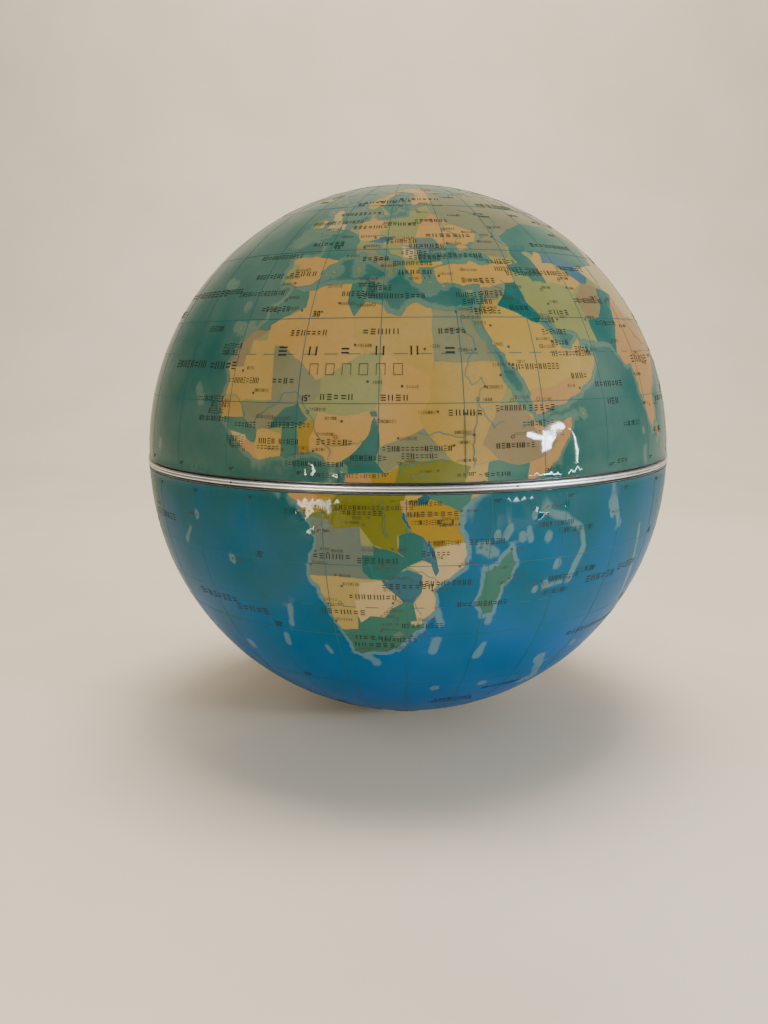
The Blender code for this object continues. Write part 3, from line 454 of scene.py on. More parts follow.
    (SAND, [(-8.4, 7.4), (-8, 10.2), (-5.5, 10.3), (-2.8, 9.6), (-3, 4), (-7.6, 4)]),  # Ivory Coast
    (TEAL, [(-5.5, 10.4), (-4.4, 12.2), (-2.4, 14.2), (0.2, 15), (2.2, 12.4), (0.9, 11.1), (-2.8, 11)]),
    (SEA_GREEN, [(-2.8, 11), (0.2, 11.1), (1.2, 5), (-3, 4), (-2.8, 9.6)]),  # Ghana
    (OCHRE, [  # Togo, Benin
        (0.2, 11.1), (0.9, 11.1), (2.4, 12.3), (3.6, 11.8), (2.7, 9), (2.7, 5), (1, 5),
    ]),
    (PEACH, [  # Nigeria
        (2.7, 6), (2.7, 9), (3.6, 11.8), (4, 13.5), (9, 12.9), (13.5, 13.8), (14.3, 12.4), (13.2, 9.6),
        (11, 6.6), (8.7, 4.8), (6, 3), (3, 5),
    ]),
    (TEAL, [  # Cameroon
        (8.6, 4.8), (11, 6.7), (13.3, 9.7), (14.3, 12.8), (15.2, 9.8), (15.2, 7.4), (14.5, 4.8),
        (16.1, 2.2), (11, 2.2), (9, 2.2), (9, 4),
    ]),
    (GREY_GREEN, [
        (15.2, 7.4), (18.9, 9), (22.8, 10.9), (27.4, 5.1), (24, 5), (18.6, 4.6), (16.3, 2.3), (14.6, 4.8),
    ]),
    (PINK, [(8, 2.3), (13.2, 2.3), (14.4, -1.6), (11.5, -3.8), (8, -3.8)]),  # Gabon
    (OCHRE, [
        (13.2, 2.3), (16.2, 2.3), (18.5, 3.6), (17.8, 0), (15.4, -4.4), (12, -5), (11.2, -3.8),
        (14.4, -1.6),
    ]),
    (OLIVE, [  # DR Congo
        (18.5, 3.6), (18.6, 4.6), (24, 5), (27.4, 5), (30.8, 3.6), (31.2, 2.1), (29.6, -1.2), (29.2, -4.4),
        (30.8, -8.3), (28.4, -9), (28.5, -12.4), (29.8, -13.4), (28, -12.3), (24.2, -11), (21.8, -7.3),
        (17, -7.9), (16.2, -5.9), (12, -5.9), (13, -4.7), (15.8, -4.2), (17.8, 0),
    ]),
    (SEA_GREEN, [  # Kenya
        (33.9, 0), (34.2, 4.4), (35.9, 4.7), (39.5, 3.5), (41.9, 3.9), (41, -1.6), (40, -5), (37.6, -3),
        (33.9, -1),
    ]),
    (SAND, [(29.6, -1.3), (31, 3.6), (34, 4.2), (34, -1)]),  # Uganda
    (PINK, [(28.9, -1.5), (30.6, -1.2), (30.6, -4.2), (29.2, -4.4)]),  # Rwanda, Burundi
    (OCHRE, [  # Tanzania
        (30.6, -1.1), (33.9, -1), (37.6, -3), (39.4, -4.6), (42, -8), (40.4, -10.5), (35, -11.5),
        (32.9, -9.4), (30.8, -8.3), (29.3, -5), (30.4, -4),
    ]),
    (GREY, [  # Angola
        (11, -4.4), (13, -5.9), (16.2, -5.9), (17, -7.9), (21.8, -7.3), (22, -11), (24, -11), (24, -13),
        (22, -13), (22, -16.2), (23.4, -17.6), (18.5, -17.4), (11, -17.3),
    ]),
    (TEAL, [  # Zambia
        (22, -16.2), (22, -13), (24, -13), (24, -11), (28, -12.3), (29.8, -13.4), (28.4, -12.2), (28.6, -9),
        (30.8, -8.3), (33, -9.4), (33.3, -12.4), (32.8, -13.8), (30.3, -15), (28.9, -16), (27, -18),
        (25.2, -17.7), (23.4, -17.6),
    ]),
    (MIST, [(33, -9.4), (34.9, -11.6), (35.9, -16), (35.2, -17.1), (34.3, -14.6), (32.8, -13.8)]),  # Malawi
    (CREAM, [  # Mozambique
        (34.9, -11.6), (41.5, -10.2), (42, -15.6), (36, -20), (36.2, -24.6), (32.9, -27.2), (32, -26.2),
        (31.3, -22.4), (32.8, -20), (32.9, -16.8), (30.3, -15), (33.2, -14), (34.4, -14.6), (35.3, -17.1),
        (35.9, -16),
    ]),
    (MIST, [  # Zimbabwe
        (25.3, -17.8), (27, -18), (28.9, -16), (30.4, -15.7), (32.9, -16.8), (32.8, -20.2), (31.3, -22.3),
        (29.4, -22.2), (27.6, -20.5),
    ]),
    (DUNE, [  # Namibia
        (10.8, -17.3), (14, -17.4), (18.5, -17.4), (25.2, -17.8), (23.4, -18.3), (21, -18.3), (21, -22),
        (20, -22), (20, -28.4), (17.2, -28.8), (10.8, -29),
    ]),
    (CREAM, [  # Botswana
        (21, -18.3), (23.4, -18.2), (25.3, -17.8), (27.7, -20.5), (29.4, -22.2), (26.9, -23.7),
        (25.6, -25.6), (22.8, -25.3), (20.8, -26.8), (20, -24.8), (20, -22), (21, -22),
    ]),
    (SEA_GREEN, [  # South Africa
        (15, -28.8), (17.2, -28.7), (20, -28.4), (20, -24.8), (20.8, -26.8), (22.8, -25.3), (25.6, -25.6),
        (26.9, -23.7), (29.4, -22.2), (31.3, -22.3), (32, -25.9), (31.8, -27.3), (33, -27), (34, -31),
        (26, -36), (15, -36),
    ]),
    (CREAM, [(30.8, -26.4), (32.1, -26.3), (31.9, -27.3), (30.9, -27.1)]),  # Eswatini
    (GREY, [(27.2, -29.6), (28.4, -28.7), (29.4, -29.6), (28, -30.6)]),  # Lesotho
    (SEA_GREEN, [(42, -11), (52, -11), (52, -27), (42, -27)]),  # Madagascar
    (PEACH, [  # Canada
        (-141, 71), (-141, 60), (-130, 54.8), (-123, 49), (-95, 49), (-83, 46), (-79, 43), (-67, 47.3),
        (-66, 43), (-50, 46), (-60, 84), (-120, 84),
    ]),
    (LIME, [  # United States
        (-125, 49), (-95, 49), (-83, 46), (-79, 42.5), (-67, 47.4), (-66, 43), (-79, 24), (-97, 25.8),
        (-106, 31.8), (-114.7, 32.6), (-118, 32), (-126, 40),
    ]),
    (LIME, [(-170, 52), (-130, 54.6), (-141, 60), (-141, 72), (-170, 72)]),
    (TAN, [
        (-118, 32.6), (-106, 31.8), (-97, 25.8), (-96, 20), (-86, 23), (-88, 17.9), (-92, 14.4), (-106, 17),
        (-118, 26),
    ]),
    (SEA_GREEN, [(-92.4, 14.4), (-89, 18), (-82.5, 15.5), (-83, 9.8), (-87.8, 12.5)]),
    (PEACH, [(-84, 11.2), (-77, 10), (-77.5, 7), (-84, 7.5)]),
    (ICE, [(-75, 85), (-10, 85), (-10, 70), (-43, 59), (-56, 64), (-56, 74), (-70, 76)]),
    (SEA_GREEN, [  # Brazil
        (-60, 5), (-52, 2.4), (-50, 5), (-30, -2), (-34, -10), (-48, -35), (-54, -33.8), (-57.6, -30),
        (-54.4, -25.6), (-58, -20), (-60, -13.6), (-65.4, -10), (-70.6, -10.6), (-73, -7), (-69.8, -4),
        (-69.6, 1), (-64, 2),
    ]),
    (PEACH, [(-79, 9), (-71, 13), (-73, 7.2), (-67.4, 6), (-67, 1.2), (-69.8, -4), (-75, 0), (-79, 1.4)]),
    (OCHRE, [  # Venezuela
        (-73.4, 12), (-60, 12), (-60, 5), (-64, 2), (-67, 1.2), (-67.4, 6), (-72.4, 7.4),
    ]),
    (TAN, [(-60, 9), (-51, 6), (-52, 2.3), (-60, 2.6)]),
    (TEAL, [(-82, 1), (-75.4, 0), (-80, -5), (-82, -4)]),
    (CREAM, [  # Peru
        (-82, -4), (-80, -5), (-75.2, -0.2), (-70, -4.2), (-73, -7), (-69, -12), (-69.5, -17.6),
        (-72, -18.4), (-82, -8),
    ]),
    (PINK, [
        (-69, -12), (-65.3, -10), (-60, -14), (-58, -20), (-62.6, -22.2), (-67.8, -22.6), (-69.5, -17.5),
    ]),
    (GREY_GREEN, [(-62.6, -22.2), (-58, -20), (-54.6, -25.6), (-58, -27.2)]),
    (PEACH, [  # Argentina
        (-67.8, -22.4), (-62.6, -22.2), (-58, -27), (-57.6, -30), (-58.4, -34), (-56, -38), (-64, -55.4),
        (-69, -55), (-72, -49), (-71, -39), (-70, -30), (-68, -25),
    ]),
    (TAN, [
        (-72, -18), (-67.8, -22), (-70, -30), (-71.4, -39), (-72.6, -49), (-68.6, -52.6), (-76, -56),
        (-78, -40),
    ]),
    (LIME, [(-58.2, -30), (-53, -33), (-55, -35.4), (-58.6, -34.2)]),
    (SAND, [(112, -10), (129, -10), (129, -40), (112, -40)]),  # Australia
    (PEACH, [(129, -10), (138, -10), (138, -26), (129, -26)]),
    (LIME, [(138, -9), (155, -9), (155, -29), (141, -29), (141, -26), (138, -26)]),
    (TAN, [(129, -26), (141, -26), (141, -40), (129, -40)]),
    (PINK, [(141, -29), (155, -28), (155, -45), (141, -40)]),
    (SEA_GREEN, [(165, -33), (180, -33), (180, -48), (165, -48)]),
]

RIVERS = [
    [
        (31.0, 30.9), (30.9, 28.2), (31.6, 26.9), (32.7, 26.0), (32.8, 24.0), (31.2, 21.8), (30.4, 19.6),
        (31.6, 18.0), (33.6, 19.4), (34.0, 17.8), (32.6, 15.7), (32.4, 13.0), (31.6, 9.6), (31.6, 6.0),
        (31.4, 3.0),
    ],
    [(32.6, 15.7), (34.2, 12.2), (35.3, 10.6), (37.2, 11.7)],
    [(22.0, 10.0), (25.5, 10.2), (28.0, 9.4), (31.2, 9.6)],
    [
        (-10.4, 9.6), (-8.0, 12.6), (-4.4, 14.6), (-2.8, 16.8), (0.0, 16.6), (3.4, 12.0), (5.0, 8.4),
        (6.6, 6.4), (6.2, 4.6),
    ],
    [(6.6, 7.6), (9.4, 7.8), (13.2, 9.0)],
    [
        (12.4, -6.0), (15.3, -4.3), (17.0, -1.0), (20.0, 1.8), (24.0, 1.4), (25.6, -1.2), (26.2, -5.4),
        (27.0, -9.4),
    ],
    [(18.4, 1.9), (18.6, 4.3), (22.6, 4.2), (27.0, 4.9)],
    [(36.3, -18.6), (33.0, -16.2), (30.2, -15.7), (27.0, -17.9), (24.0, -17.0), (23.0, -14.0)],
    [(16.5, -28.6), (20.0, -28.6), (24.0, -29.0), (27.2, -30.4)],
    [(32.9, -25.0), (31.6, -22.4), (29.0, -22.2), (27.0, -23.4)],
    [(-16.4, 16.0), (-13.8, 16.2), (-12.0, 14.6), (-11.0, 12.4)],
    [(43.4, 11.9), (40.4, 10.4)],
    [(48.4, 30.0), (46.0, 32.0), (43.0, 34.4), (40.0, 36.0), (38.0, 37.6)],
    [(47.4, 31.0), (45.4, 32.8), (43.4, 36.0), (41.4, 37.6)],
    [(47.8, 46.0), (45.0, 48.6), (46.6, 51.2), (49.4, 53.6), (49.0, 55.8), (44.0, 56.4), (38.6, 58.0)],
    [(29.2, 45.2), (26.0, 44.0), (22.4, 44.6), (19.0, 46.0), (18.8, 47.7), (16.0, 48.2), (11.0, 48.7)],
    [(33.0, 46.6), (35.0, 48.2), (31.0, 50.4), (30.6, 53.0)],
    [(39.4, 47.1), (41.6, 48.4), (39.4, 51.0)],
    [(67.6, 24.4), (70.6, 29.0), (73.0, 33.4), (77.0, 35.0)],
    [(88.0, 21.8), (87.0, 25.0), (80.4, 26.4), (78.0, 29.8)],
    [(72.0, 66.4), (66.0, 62.0), (72.0, 58.6), (82.0, 54.0)],
    [(82.6, 71.6), (87.0, 66.0), (90.0, 60.0), (92.6, 56.0)],
    [(127.0, 72.6), (124.0, 66.0), (130.0, 62.4), (116.0, 59.6), (108.0, 55.0)],
    [(121.4, 31.6), (115.0, 30.0), (111.0, 30.6), (105.6, 29.0), (100.0, 27.0), (97.0, 32.4)],
    [(118.6, 37.6), (114.4, 35.0), (110.4, 36.0), (108.6, 40.6), (103.8, 36.0)],
    [(106.4, 10.0), (105.0, 14.6), (102.0, 18.0), (100.4, 22.0)],
    [
        (-50.4, -0.4), (-55.0, -2.2), (-60.0, -3.2), (-66.0, -3.0), (-70.0, -4.0), (-73.4, -4.6),
        (-75.4, -9.0),
    ],
    [(-58.4, -34.0), (-58.8, -30.0), (-57.8, -24.0), (-57.6, -18.0)],
    [(-61.0, 9.0), (-66.0, 7.4), (-67.6, 4.0)],
    [(-89.4, 29.2), (-91.4, 31.6), (-90.0, 35.0), (-89.2, 37.2), (-91.2, 41.0), (-93.4, 45.4)],
    [(-89.4, 37.0), (-84.8, 38.8), (-80.4, 40.4)],
    [(-90.4, 38.8), (-96.0, 41.2), (-101.0, 46.0), (-110.0, 47.6)],
    [(-134.8, 69.0), (-129.0, 66.0), (-123.0, 62.0), (-114.0, 61.2)],
    [(139.0, -35.4), (142.0, -34.2), (146.6, -36.0)],
]

# Capital and large towns: (longitude, latitude, 1 for a ring or 0 for a dot).
TOWNS = [
    (3.0, 36.5, 1), (10.2, 36.6, 1), (13.2, 32.5, 1), (31.2, 30.0, 1), (-6.8, 33.8, 1), (-8.0, 31.4, 0),
    (5.9, 32.9, 0), (-2.2, 31.6, 0), (29.9, 31.0, 0), (31.2, 27.2, 0), (32.9, 24.1, 0), (10.2, 25.0, 0),
    (23.3, 24.2, 0), (12.9, 18.7, 0), (19.1, 17.9, 0), (2.1, 13.5, 1), (-8.0, 12.6, 1), (-1.5, 12.4, 1),
    (7.5, 9.2, 1), (8.5, 12.0, 0), (3.4, 6.6, 0), (2.6, 6.4, 1), (-0.2, 5.6, 1), (-5.3, 6.8, 1),
    (-10.8, 6.3, 1), (-17.4, 14.7, 1), (-13.0, 20.5, 0), (-9.6, 16.6, 0), (15.0, 12.1, 1), (18.4, 9.1, 0),
    (11.5, 3.9, 1), (18.6, 4.4, 1), (25.2, 2.8, 0), (32.5, 15.6, 1), (34.0, 17.7, 0), (37.2, 19.6, 0),
    (30.2, 13.2, 0), (25.3, 13.6, 0), (28.0, 7.7, 0), (31.6, 9.5, 0), (31.6, 4.9, 1), (38.7, 9.0, 1),
    (38.9, 15.3, 1), (44.2, 15.4, 1), (45.0, 12.9, 0), (46.7, 24.6, 1), (39.6, 24.5, 0), (39.2, 21.5, 0),
    (39.9, 21.4, 0), (36.6, 28.4, 0), (49.6, 25.4, 0), (58.4, 23.4, 1), (54.0, 17.0, 0), (51.4, 35.7, 1),
    (51.7, 32.7, 0), (52.6, 29.6, 0), (59.6, 36.3, 0), (44.4, 33.3, 1), (43.1, 36.3, 0), (47.8, 30.5, 0),
    (36.3, 33.5, 1), (35.9, 31.9, 1), (32.8, 39.9, 1), (27.2, 38.4, 0), (37.0, 37.0, 0), (44.8, 41.7, 1),
    (49.9, 40.4, 1), (61.0, 29.6, 0), (69.2, 34.5, 1), (67.0, 25.0, 0), (73.0, 33.7, 1), (77.2, 28.6, 1),
    (72.9, 19.1, 0), (80.3, 13.1, 0), (77.6, 13.0, 0), (88.4, 22.6, 0), (75.8, 22.7, 0), (79.1, 21.2, 0),
    (58.4, 38.0, 1), (69.3, 41.3, 1), (71.4, 51.1, 1), (37.6, 55.8, 1), (30.3, 59.9, 0), (44.0, 56.3, 0),
    (49.1, 55.8, 0), (44.5, 48.7, 0), (39.7, 47.3, 0), (46.0, 51.5, 0), (60.6, 56.8, 0), (73.4, 55.0, 0),
    (30.5, 50.4, 1), (36.2, 50.0, 0), (30.7, 46.6, 0), (26.1, 44.4, 1), (23.3, 42.7, 1), (20.5, 44.8, 1),
    (23.7, 38.0, 1), (12.5, 41.9, 1), (9.2, 45.5, 0), (14.3, 40.9, 0), (13.4, 38.0, 0), (-3.7, 40.4, 1),
    (-9.1, 38.8, 1), (-6.0, 37.4, 0), (2.3, 48.9, 1), (5.4, 43.5, 0), (13.4, 52.5, 1), (11.6, 48.2, 0),
    (21.0, 52.2, 1), (19.0, 47.5, 1), (16.4, 48.2, 1), (-0.1, 51.5, 1), (24.9, 60.3, 1), (18.1, 59.4, 1),
    (10.8, 59.9, 1), (27.6, 53.9, 1), (24.1, 56.9, 1), (40.5, 64.5, 0), (33.1, 69.0, 0), (13.3, -8.9, 1),
    (13.4, -12.5, 0), (15.7, -12.8, 0), (12.2, -15.2, 0), (16.8, -17.0, 0), (15.3, -4.4, 1),
    (23.4, -5.4, 0), (27.5, -11.7, 0), (25.4, -12.4, 0), (22.5, -7.0, 0), (28.3, -15.4, 1),
    (27.0, -15.6, 0), (31.0, -17.8, 1), (28.6, -20.2, 0), (25.8, -17.9, 0), (17.1, -22.6, 1),
    (14.6, -23.0, 0), (17.8, -19.2, 0), (15.6, -26.8, 0), (25.9, -24.6, 1), (27.4, -22.4, 0),
    (28.2, -25.8, 1), (28.0, -27.0, 0), (24.8, -28.8, 0), (31.0, -29.8, 0), (25.6, -33.6, 0),
    (27.8, -32.6, 0), (21.6, -33.6, 0), (18.6, -33.8, 0), (32.5, -25.9, 1), (34.8, -19.8, 0),
    (39.6, -15.2, 0), (33.8, -13.9, 1), (35.8, -6.2, 1), (39.2, -6.9, 0), (29.6, -4.9, 0), (30.1, -2.0, 1),
    (36.8, -1.3, 1), (39.6, -4.0, 0), (45.3, 2.1, 1), (47.5, -18.9, 1), (46.3, -15.8, 0), (49.2, -12.4, 0),
    (43.8, -23.3, 0), (49.4, -18.2, 0), (43.3, -11.7, 1), (57.5, -20.2, 1), (55.5, -4.6, 1),
    (63.4, -19.7, 0), (72.4, -7.3, 0), (-5.7, -15.9, 0), (-14.4, -7.9, 0), (106.8, -6.4, 1),
    (116.0, -31.9, 0), (138.6, -34.9, 0), (144.9, -37.7, 0), (151.1, -33.8, 0), (149.1, -35.3, 1),
    (153.0, -27.5, 0), (130.9, -12.6, 0), (133.9, -23.7, 0), (174.7, -41.2, 1), (174.8, -36.9, 0),
    (147.1, -9.5, 1), (-43.3, -22.8, 0), (-46.6, -23.5, 0), (-47.9, -15.8, 1), (-60.0, -3.1, 0),
    (-38.5, -12.9, 0), (-35.0, -8.1, 0), (-58.4, -34.6, 1), (-56.2, -34.8, 1), (-70.6, -33.4, 1),
    (-68.1, -16.5, 1), (-77.0, -12.0, 1), (-57.6, -25.3, 1), (-68.2, -38.9, 0), (-74.1, 4.6, 1),
    (-66.9, 10.4, 1), (-78.5, 0.3, 1), (-99.1, 19.4, 1), (-103.3, 20.7, 0), (-82.4, 23.0, 1),
    (-90.1, 30.0, 0), (-95.4, 29.8, 0), (-80.3, 25.9, 0), (-84.4, 33.7, 0), (-77.0, 38.9, 1),
    (-74.0, 40.8, 0), (-87.7, 41.8, 0), (-104.9, 39.7, 0), (-112.0, 33.4, 0), (-118.2, 34.1, 0),
    (-122.3, 37.8, 0), (-122.3, 47.5, 0), (-75.7, 45.4, 1), (-97.1, 49.9, 0), (-113.5, 53.5, 0),
    (-149.9, 61.3, 0), (-51.7, 64.2, 0), (-21.9, 64.2, 1), (139.7, 35.7, 1), (135.5, 34.7, 0),
    (127.0, 37.5, 1), (116.4, 39.9, 1), (121.4, 31.2, 0), (114.2, 30.6, 0), (113.3, 23.1, 0),
    (104.0, 30.7, 0), (91.1, 29.7, 0), (87.6, 43.8, 0), (106.9, 47.9, 1), (104.3, 52.3, 0), (82.9, 55.0, 0),
    (129.7, 62.0, 0), (131.9, 43.4, 0), (135.1, 48.5, 0), (100.5, 13.8, 1), (105.8, 21.0, 1),
    (106.7, 10.8, 0), (96.2, 16.9, 1), (101.7, 3.2, 1), (121.0, 14.6, 1), (114.2, 22.5, 0), (90.4, 23.7, 1),
    (79.9, 6.9, 1),
]

# Name strips, drawn as rows of plain marks: (longitude of the middle, latitude, marks, pitch in degrees).
NAMES = [
    (0.6, 27.3, 7, 1.02), (15.2, 27.4, 5, 1.3), (28.9, 27.4, 5, 1.0), (-8.6, 32.0, 7, 0.9),
    (-12.4, 18.8, 10, 0.72), (-3.2, 18.8, 4, 1.15), (7.6, 16.1, 5, 1.25), (18.0, 16.0, 4, 1.3),
    (30.4, 13.4, 5, 1.25), (12.2, 24.0, 6, 6.5), (7.4, 8.3, 7, 0.95), (13.4, 5.4, 8, 0.8),
    (21.8, 7.2, 15, 0.8), (22.2, 5.8, 8, 0.8), (39.4, 7.4, 8, 0.95), (38.8, 14.0, 7, 0.85),
    (45.0, 13.9, 5, 1.1), (44.9, 21.0, 11, 0.9), (54.0, 31.0, 4, 1.3), (44.2, 31.8, 4, 1.0),
    (36.4, 37.5, 6, 1.1), (38.6, 34.8, 5, 0.9), (36.8, 31.0, 6, 0.85), (54.6, 19.2, 4, 1.0),
    (46.6, 9.4, 7, 0.8), (44.0, 11.2, 8, 0.8), (36.0, 1.6, 5, 1.0), (31.4, 1.5, 6, 0.95),
    (-10.6, 11.0, 6, 0.85), (-12.8, 8.4, 6, 0.7), (-12.6, 7.4, 5, 0.7), (-5.6, 8.2, 4, 0.9),
    (-5.4, 7.0, 6, 0.8), (-1.2, 8.2, 5, 0.8), (-1.4, 11.2, 11, 0.78), (-4.6, 39.4, 5, 1.2),
    (-1.0, 46.9, 6, 1.1), (12.8, 42.6, 5, 1.0), (9.6, 51.6, 7, 0.95), (19.0, 52.4, 6, 0.9),
    (32.0, 48.8, 7, 1.25), (28.0, 53.6, 7, 0.9), (25.4, 45.8, 7, 0.95), (25.2, 42.8, 8, 0.85),
    (22.2, 39.3, 6, 1.0), (21.6, 41.4, 9, 0.8), (22.0, 44.0, 6, 0.8), (18.8, 47.1, 7, 0.8),
    (9.8, 34.8, 7, 0.85), (14.5, 35.9, 5, 0.85), (17.0, 34.2, 13, 0.92), (33.6, 43.4, 9, 0.95),
    (33.4, 34.4, 6, 0.8), (35.0, 33.0, 7, 0.8), (35.6, 31.4, 6, 0.75), (43.6, 42.0, 7, 0.85),
    (45.0, 40.2, 7, 0.85), (57.0, 39.6, 12, 0.85), (48.8, 39.2, 10, 0.8), (65.8, 33.6, 11, 0.85),
    (68.4, 29.0, 8, 0.9), (51.0, 27.2, 7, 0.8), (51.6, 25.2, 5, 0.8), (54.0, 23.2, 12, 0.78),
    (49.4, 29.4, 6, 0.75), (57.0, 24.0, 4, 0.9), (62.8, 17.6, 7, 1.2), (63.0, 14.4, 3, 1.2),
    (-30.0, 21.6, 8, 1.5), (-18.6, 21.4, 5, 1.5), (-17.2, 25.0, 7, 0.7), (-17.6, 23.8, 6, 0.7),
    (-20.4, 15.4, 10, 0.75), (-17.4, 14.4, 7, 0.7), (-18.4, 13.2, 6, 0.7), (-19.2, 11.8, 11, 0.7),
    (-24.4, 28.4, 6, 0.75), (-24.8, 36.2, 8, 0.75), (-14.0, 44.0, 12, 0.85), (-14.2, 39.2, 8, 0.85),
    (-14.6, 35.4, 14, 0.8), (3.6, 4.0, 14, 0.8), (8.8, 1.6, 16, 0.75), (64.6, 2.4, 3, 1.2),
    (78.6, 22.0, 5, 1.9), (66.0, 47.0, 10, 1.3), (60.0, 61.0, 6, 3.4), (66.0, 41.0, 10, 0.85),
    (16.0, 62.0, 6, 1.1), (10.0, 61.6, 6, 1.1), (26.0, 63.0, 7, 1.1), (-2.0, 53.6, 14, 0.75),
    (4.6, 56.6, 9, 0.9), (12.0, 36.6, 5, 0.8), (104.0, 35.0, 5, 3.2), (104.0, 46.4, 8, 1.6),
    (10.2, -0.6, 5, 1.0), (13.6, -2.6, 5, 1.1), (10.6, -4.6, 6, 0.9), (22.4, -3.2, 22, 0.82),
    (22.4, -4.4, 8, 0.9), (30.4, -1.1, 6, 1.0), (33.6, -2.2, 7, 0.75), (34.8, -4.6, 8, 1.15),
    (34.6, -6.4, 15, 0.5), (16.6, -13.4, 6, 1.2), (25.0, -14.0, 6, 1.25), (30.4, -19.0, 8, 1.15),
    (37.4, -18.4, 10, 0.95), (35.4, -12.6, 6, 0.85), (36.8, -10.6, 12, 0.5), (17.6, -24.6, 7, 1.2),
    (23.8, -21.2, 8, 1.1), (23.2, -30.4, 5, 1.35), (23.4, -32.2, 6, 1.3), (28.6, -30.8, 7, 0.95),
    (33.4, -27.4, 9, 0.85), (45.0, -23.0, 10, 0.95), (44.6, -10.6, 7, 0.95), (58.2, -8.0, 10, 0.78),
    (63.0, -9.6, 14, 0.6), (62.0, -19.2, 9, 0.8), (67.8, -18.4, 9, 0.6), (60.6, -22.0, 10, 0.6),
    (73.6, -20.8, 6, 1.55), (83.4, -20.0, 5, 1.55), (-4.2, -26.6, 5, 1.7), (-14.8, -25.2, 8, 1.55),
    (46.0, -53.4, 9, 0.9), (45.4, -55.0, 12, 0.8), (60.6, -49.0, 12, 0.8), (134.0, -24.6, 9, 3.0),
    (-54.0, -10.0, 6, 3.0), (-65.0, -36.0, 9, 1.5), (-75.0, -10.4, 4, 1.6), (-64.4, -16.8, 7, 1.3),
    (-100.0, 39.6, 13, 2.2), (-106.0, 57.6, 6, 4.0), (-103.0, 24.6, 6, 1.9), (-42.0, 72.0, 9, 3.4),
    (138.0, 37.0, 5, 1.0), (-40.0, 36.0, 13, 1.8), (-150.0, 22.0, 13, 2.4), (-140.0, -24.0, 13, 2.4),
    (84.0, -34.0, 11, 2.0), (0.0, -78.0, 10, 9.0), (101.0, 15.6, 8, 0.9), (96.0, 21.0, 7, 0.9),
    (112.6, 0.6, 9, 1.1), (122.4, 12.0, 11, 0.8), (143.0, -6.0, 14, 0.8), (172.0, -39.0, 10, 0.9),
    (-74.0, 4.4, 8, 1.0), (-65.6, 7.4, 9, 0.95), (-72.0, -32.0, 5, 1.0), (68.6, 10.0, 8, 0.8),
    (88.0, 14.0, 12, 0.9), (80.8, 8.0, 8, 0.7), (-60.0, 32.0, 14, 1.6), (-30.0, -10.0, 8, 1.7),
    (110.0, -20.0, 6, 1.7),
]

# Names set in wide outlined marks:
# (longitude of the middle, latitude, marks, pitch in degrees, height in degrees).
WIDE_NAMES = [
    (11.2, 20.8, 6, 2.95, 2.0), (80.0, 66.5, 6, 13.0, 2.0), (-96.0, 47.0, 7, 6.0, 2.0),
]

# Small islands, each with a shelf of its own: (longitude, latitude, radius in degrees).
ISLES = [
    (-17.0, 32.8, 0.30), (-16.6, 28.3, 0.42), (-15.6, 28.0, 0.34), (-13.9, 28.6, 0.40), (-17.9, 28.7, 0.26),
    (-25.5, 37.8, 0.32), (-28.2, 38.5, 0.34), (-23.6, 15.1, 0.32), (-24.4, 16.6, 0.26), (-25.0, 17.1, 0.26),
    (8.7, 3.5, 0.30), (7.4, 1.6, 0.20), (6.6, 0.3, 0.26), (54.0, 12.5, 0.42), (52.2, 12.2, 0.2),
    (55.4, -4.7, 0.3), (56.2, -3.8, 0.18), (53.3, -5.8, 0.16), (46.3, -9.4, 0.2), (51.2, -10.1, 0.16),
    (56.6, -10.4, 0.16), (43.3, -11.7, 0.34), (44.4, -12.2, 0.26), (45.2, -12.8, 0.24), (57.6, -20.3, 0.36),
    (55.5, -21.1, 0.36), (63.4, -19.7, 0.22), (59.6, -16.4, 0.16), (72.4, -7.3, 0.26), (71.8, -5.3, 0.2),
    (73.4, 4.2, 0.3), (73.2, 1.2, 0.26), (73.0, 8.2, 0.2), (-14.4, -7.9, 0.2), (-5.7, -15.9, 0.24),
    (-12.3, -37.1, 0.2), (37.8, -46.9, 0.28), (51.8, -46.4, 0.3), (69.4, -49.3, 0.9), (77.5, -38.2, 0.22),
    (73.4, -53.1, 0.3), (14.4, 35.9, 0.22), (3.0, 39.6, 0.5), (1.4, 39.0, 0.24), (4.1, 40.0, 0.26),
    (28.0, 36.2, 0.34), (26.3, 39.2, 0.3), (25.2, 37.0, 0.3), (20.6, 38.3, 0.28), (10.9, 33.8, 0.22),
    (-7.0, 62.0, 0.4), (-1.2, 60.4, 0.36), (-3.0, 59.1, 0.3), (-7.0, 58.0, 0.45), (11.8, 55.4, 0.6),
    (18.6, 57.5, 0.4), (22.6, 58.5, 0.5), (92.8, 12.4, 0.4), (93.8, 7.2, 0.24), (39.3, -6.1, 0.3),
    (39.8, -5.2, 0.24), (50.5, 26.0, 0.16), (40.0, 15.8, 0.22), (42.2, 16.8, 0.2), (-59.0, -51.8, 0.9),
    (-36.6, -54.4, 0.5), (-90.6, -0.6, 0.5), (-157.8, 21.4, 0.4), (-155.6, 19.6, 0.7), (178.0, -17.8, 0.8),
    (166.4, -21.6, 0.9), (159.8, -9.4, 0.8), (155.2, -6.2, 0.7), (151.4, -5.8, 1.1), (124.8, -9.2, 0.9),
    (120.6, -8.6, 1.0), (128.6, -3.0, 0.9), (123.4, 10.8, 0.9), (118.6, 9.8, 0.6), (-77.4, 18.1, 0.6),
    (-66.4, 18.2, 0.6), (-61.3, 14.6, 0.3), (-61.4, 10.4, 0.4), (-77.4, 24.4, 0.6),
]
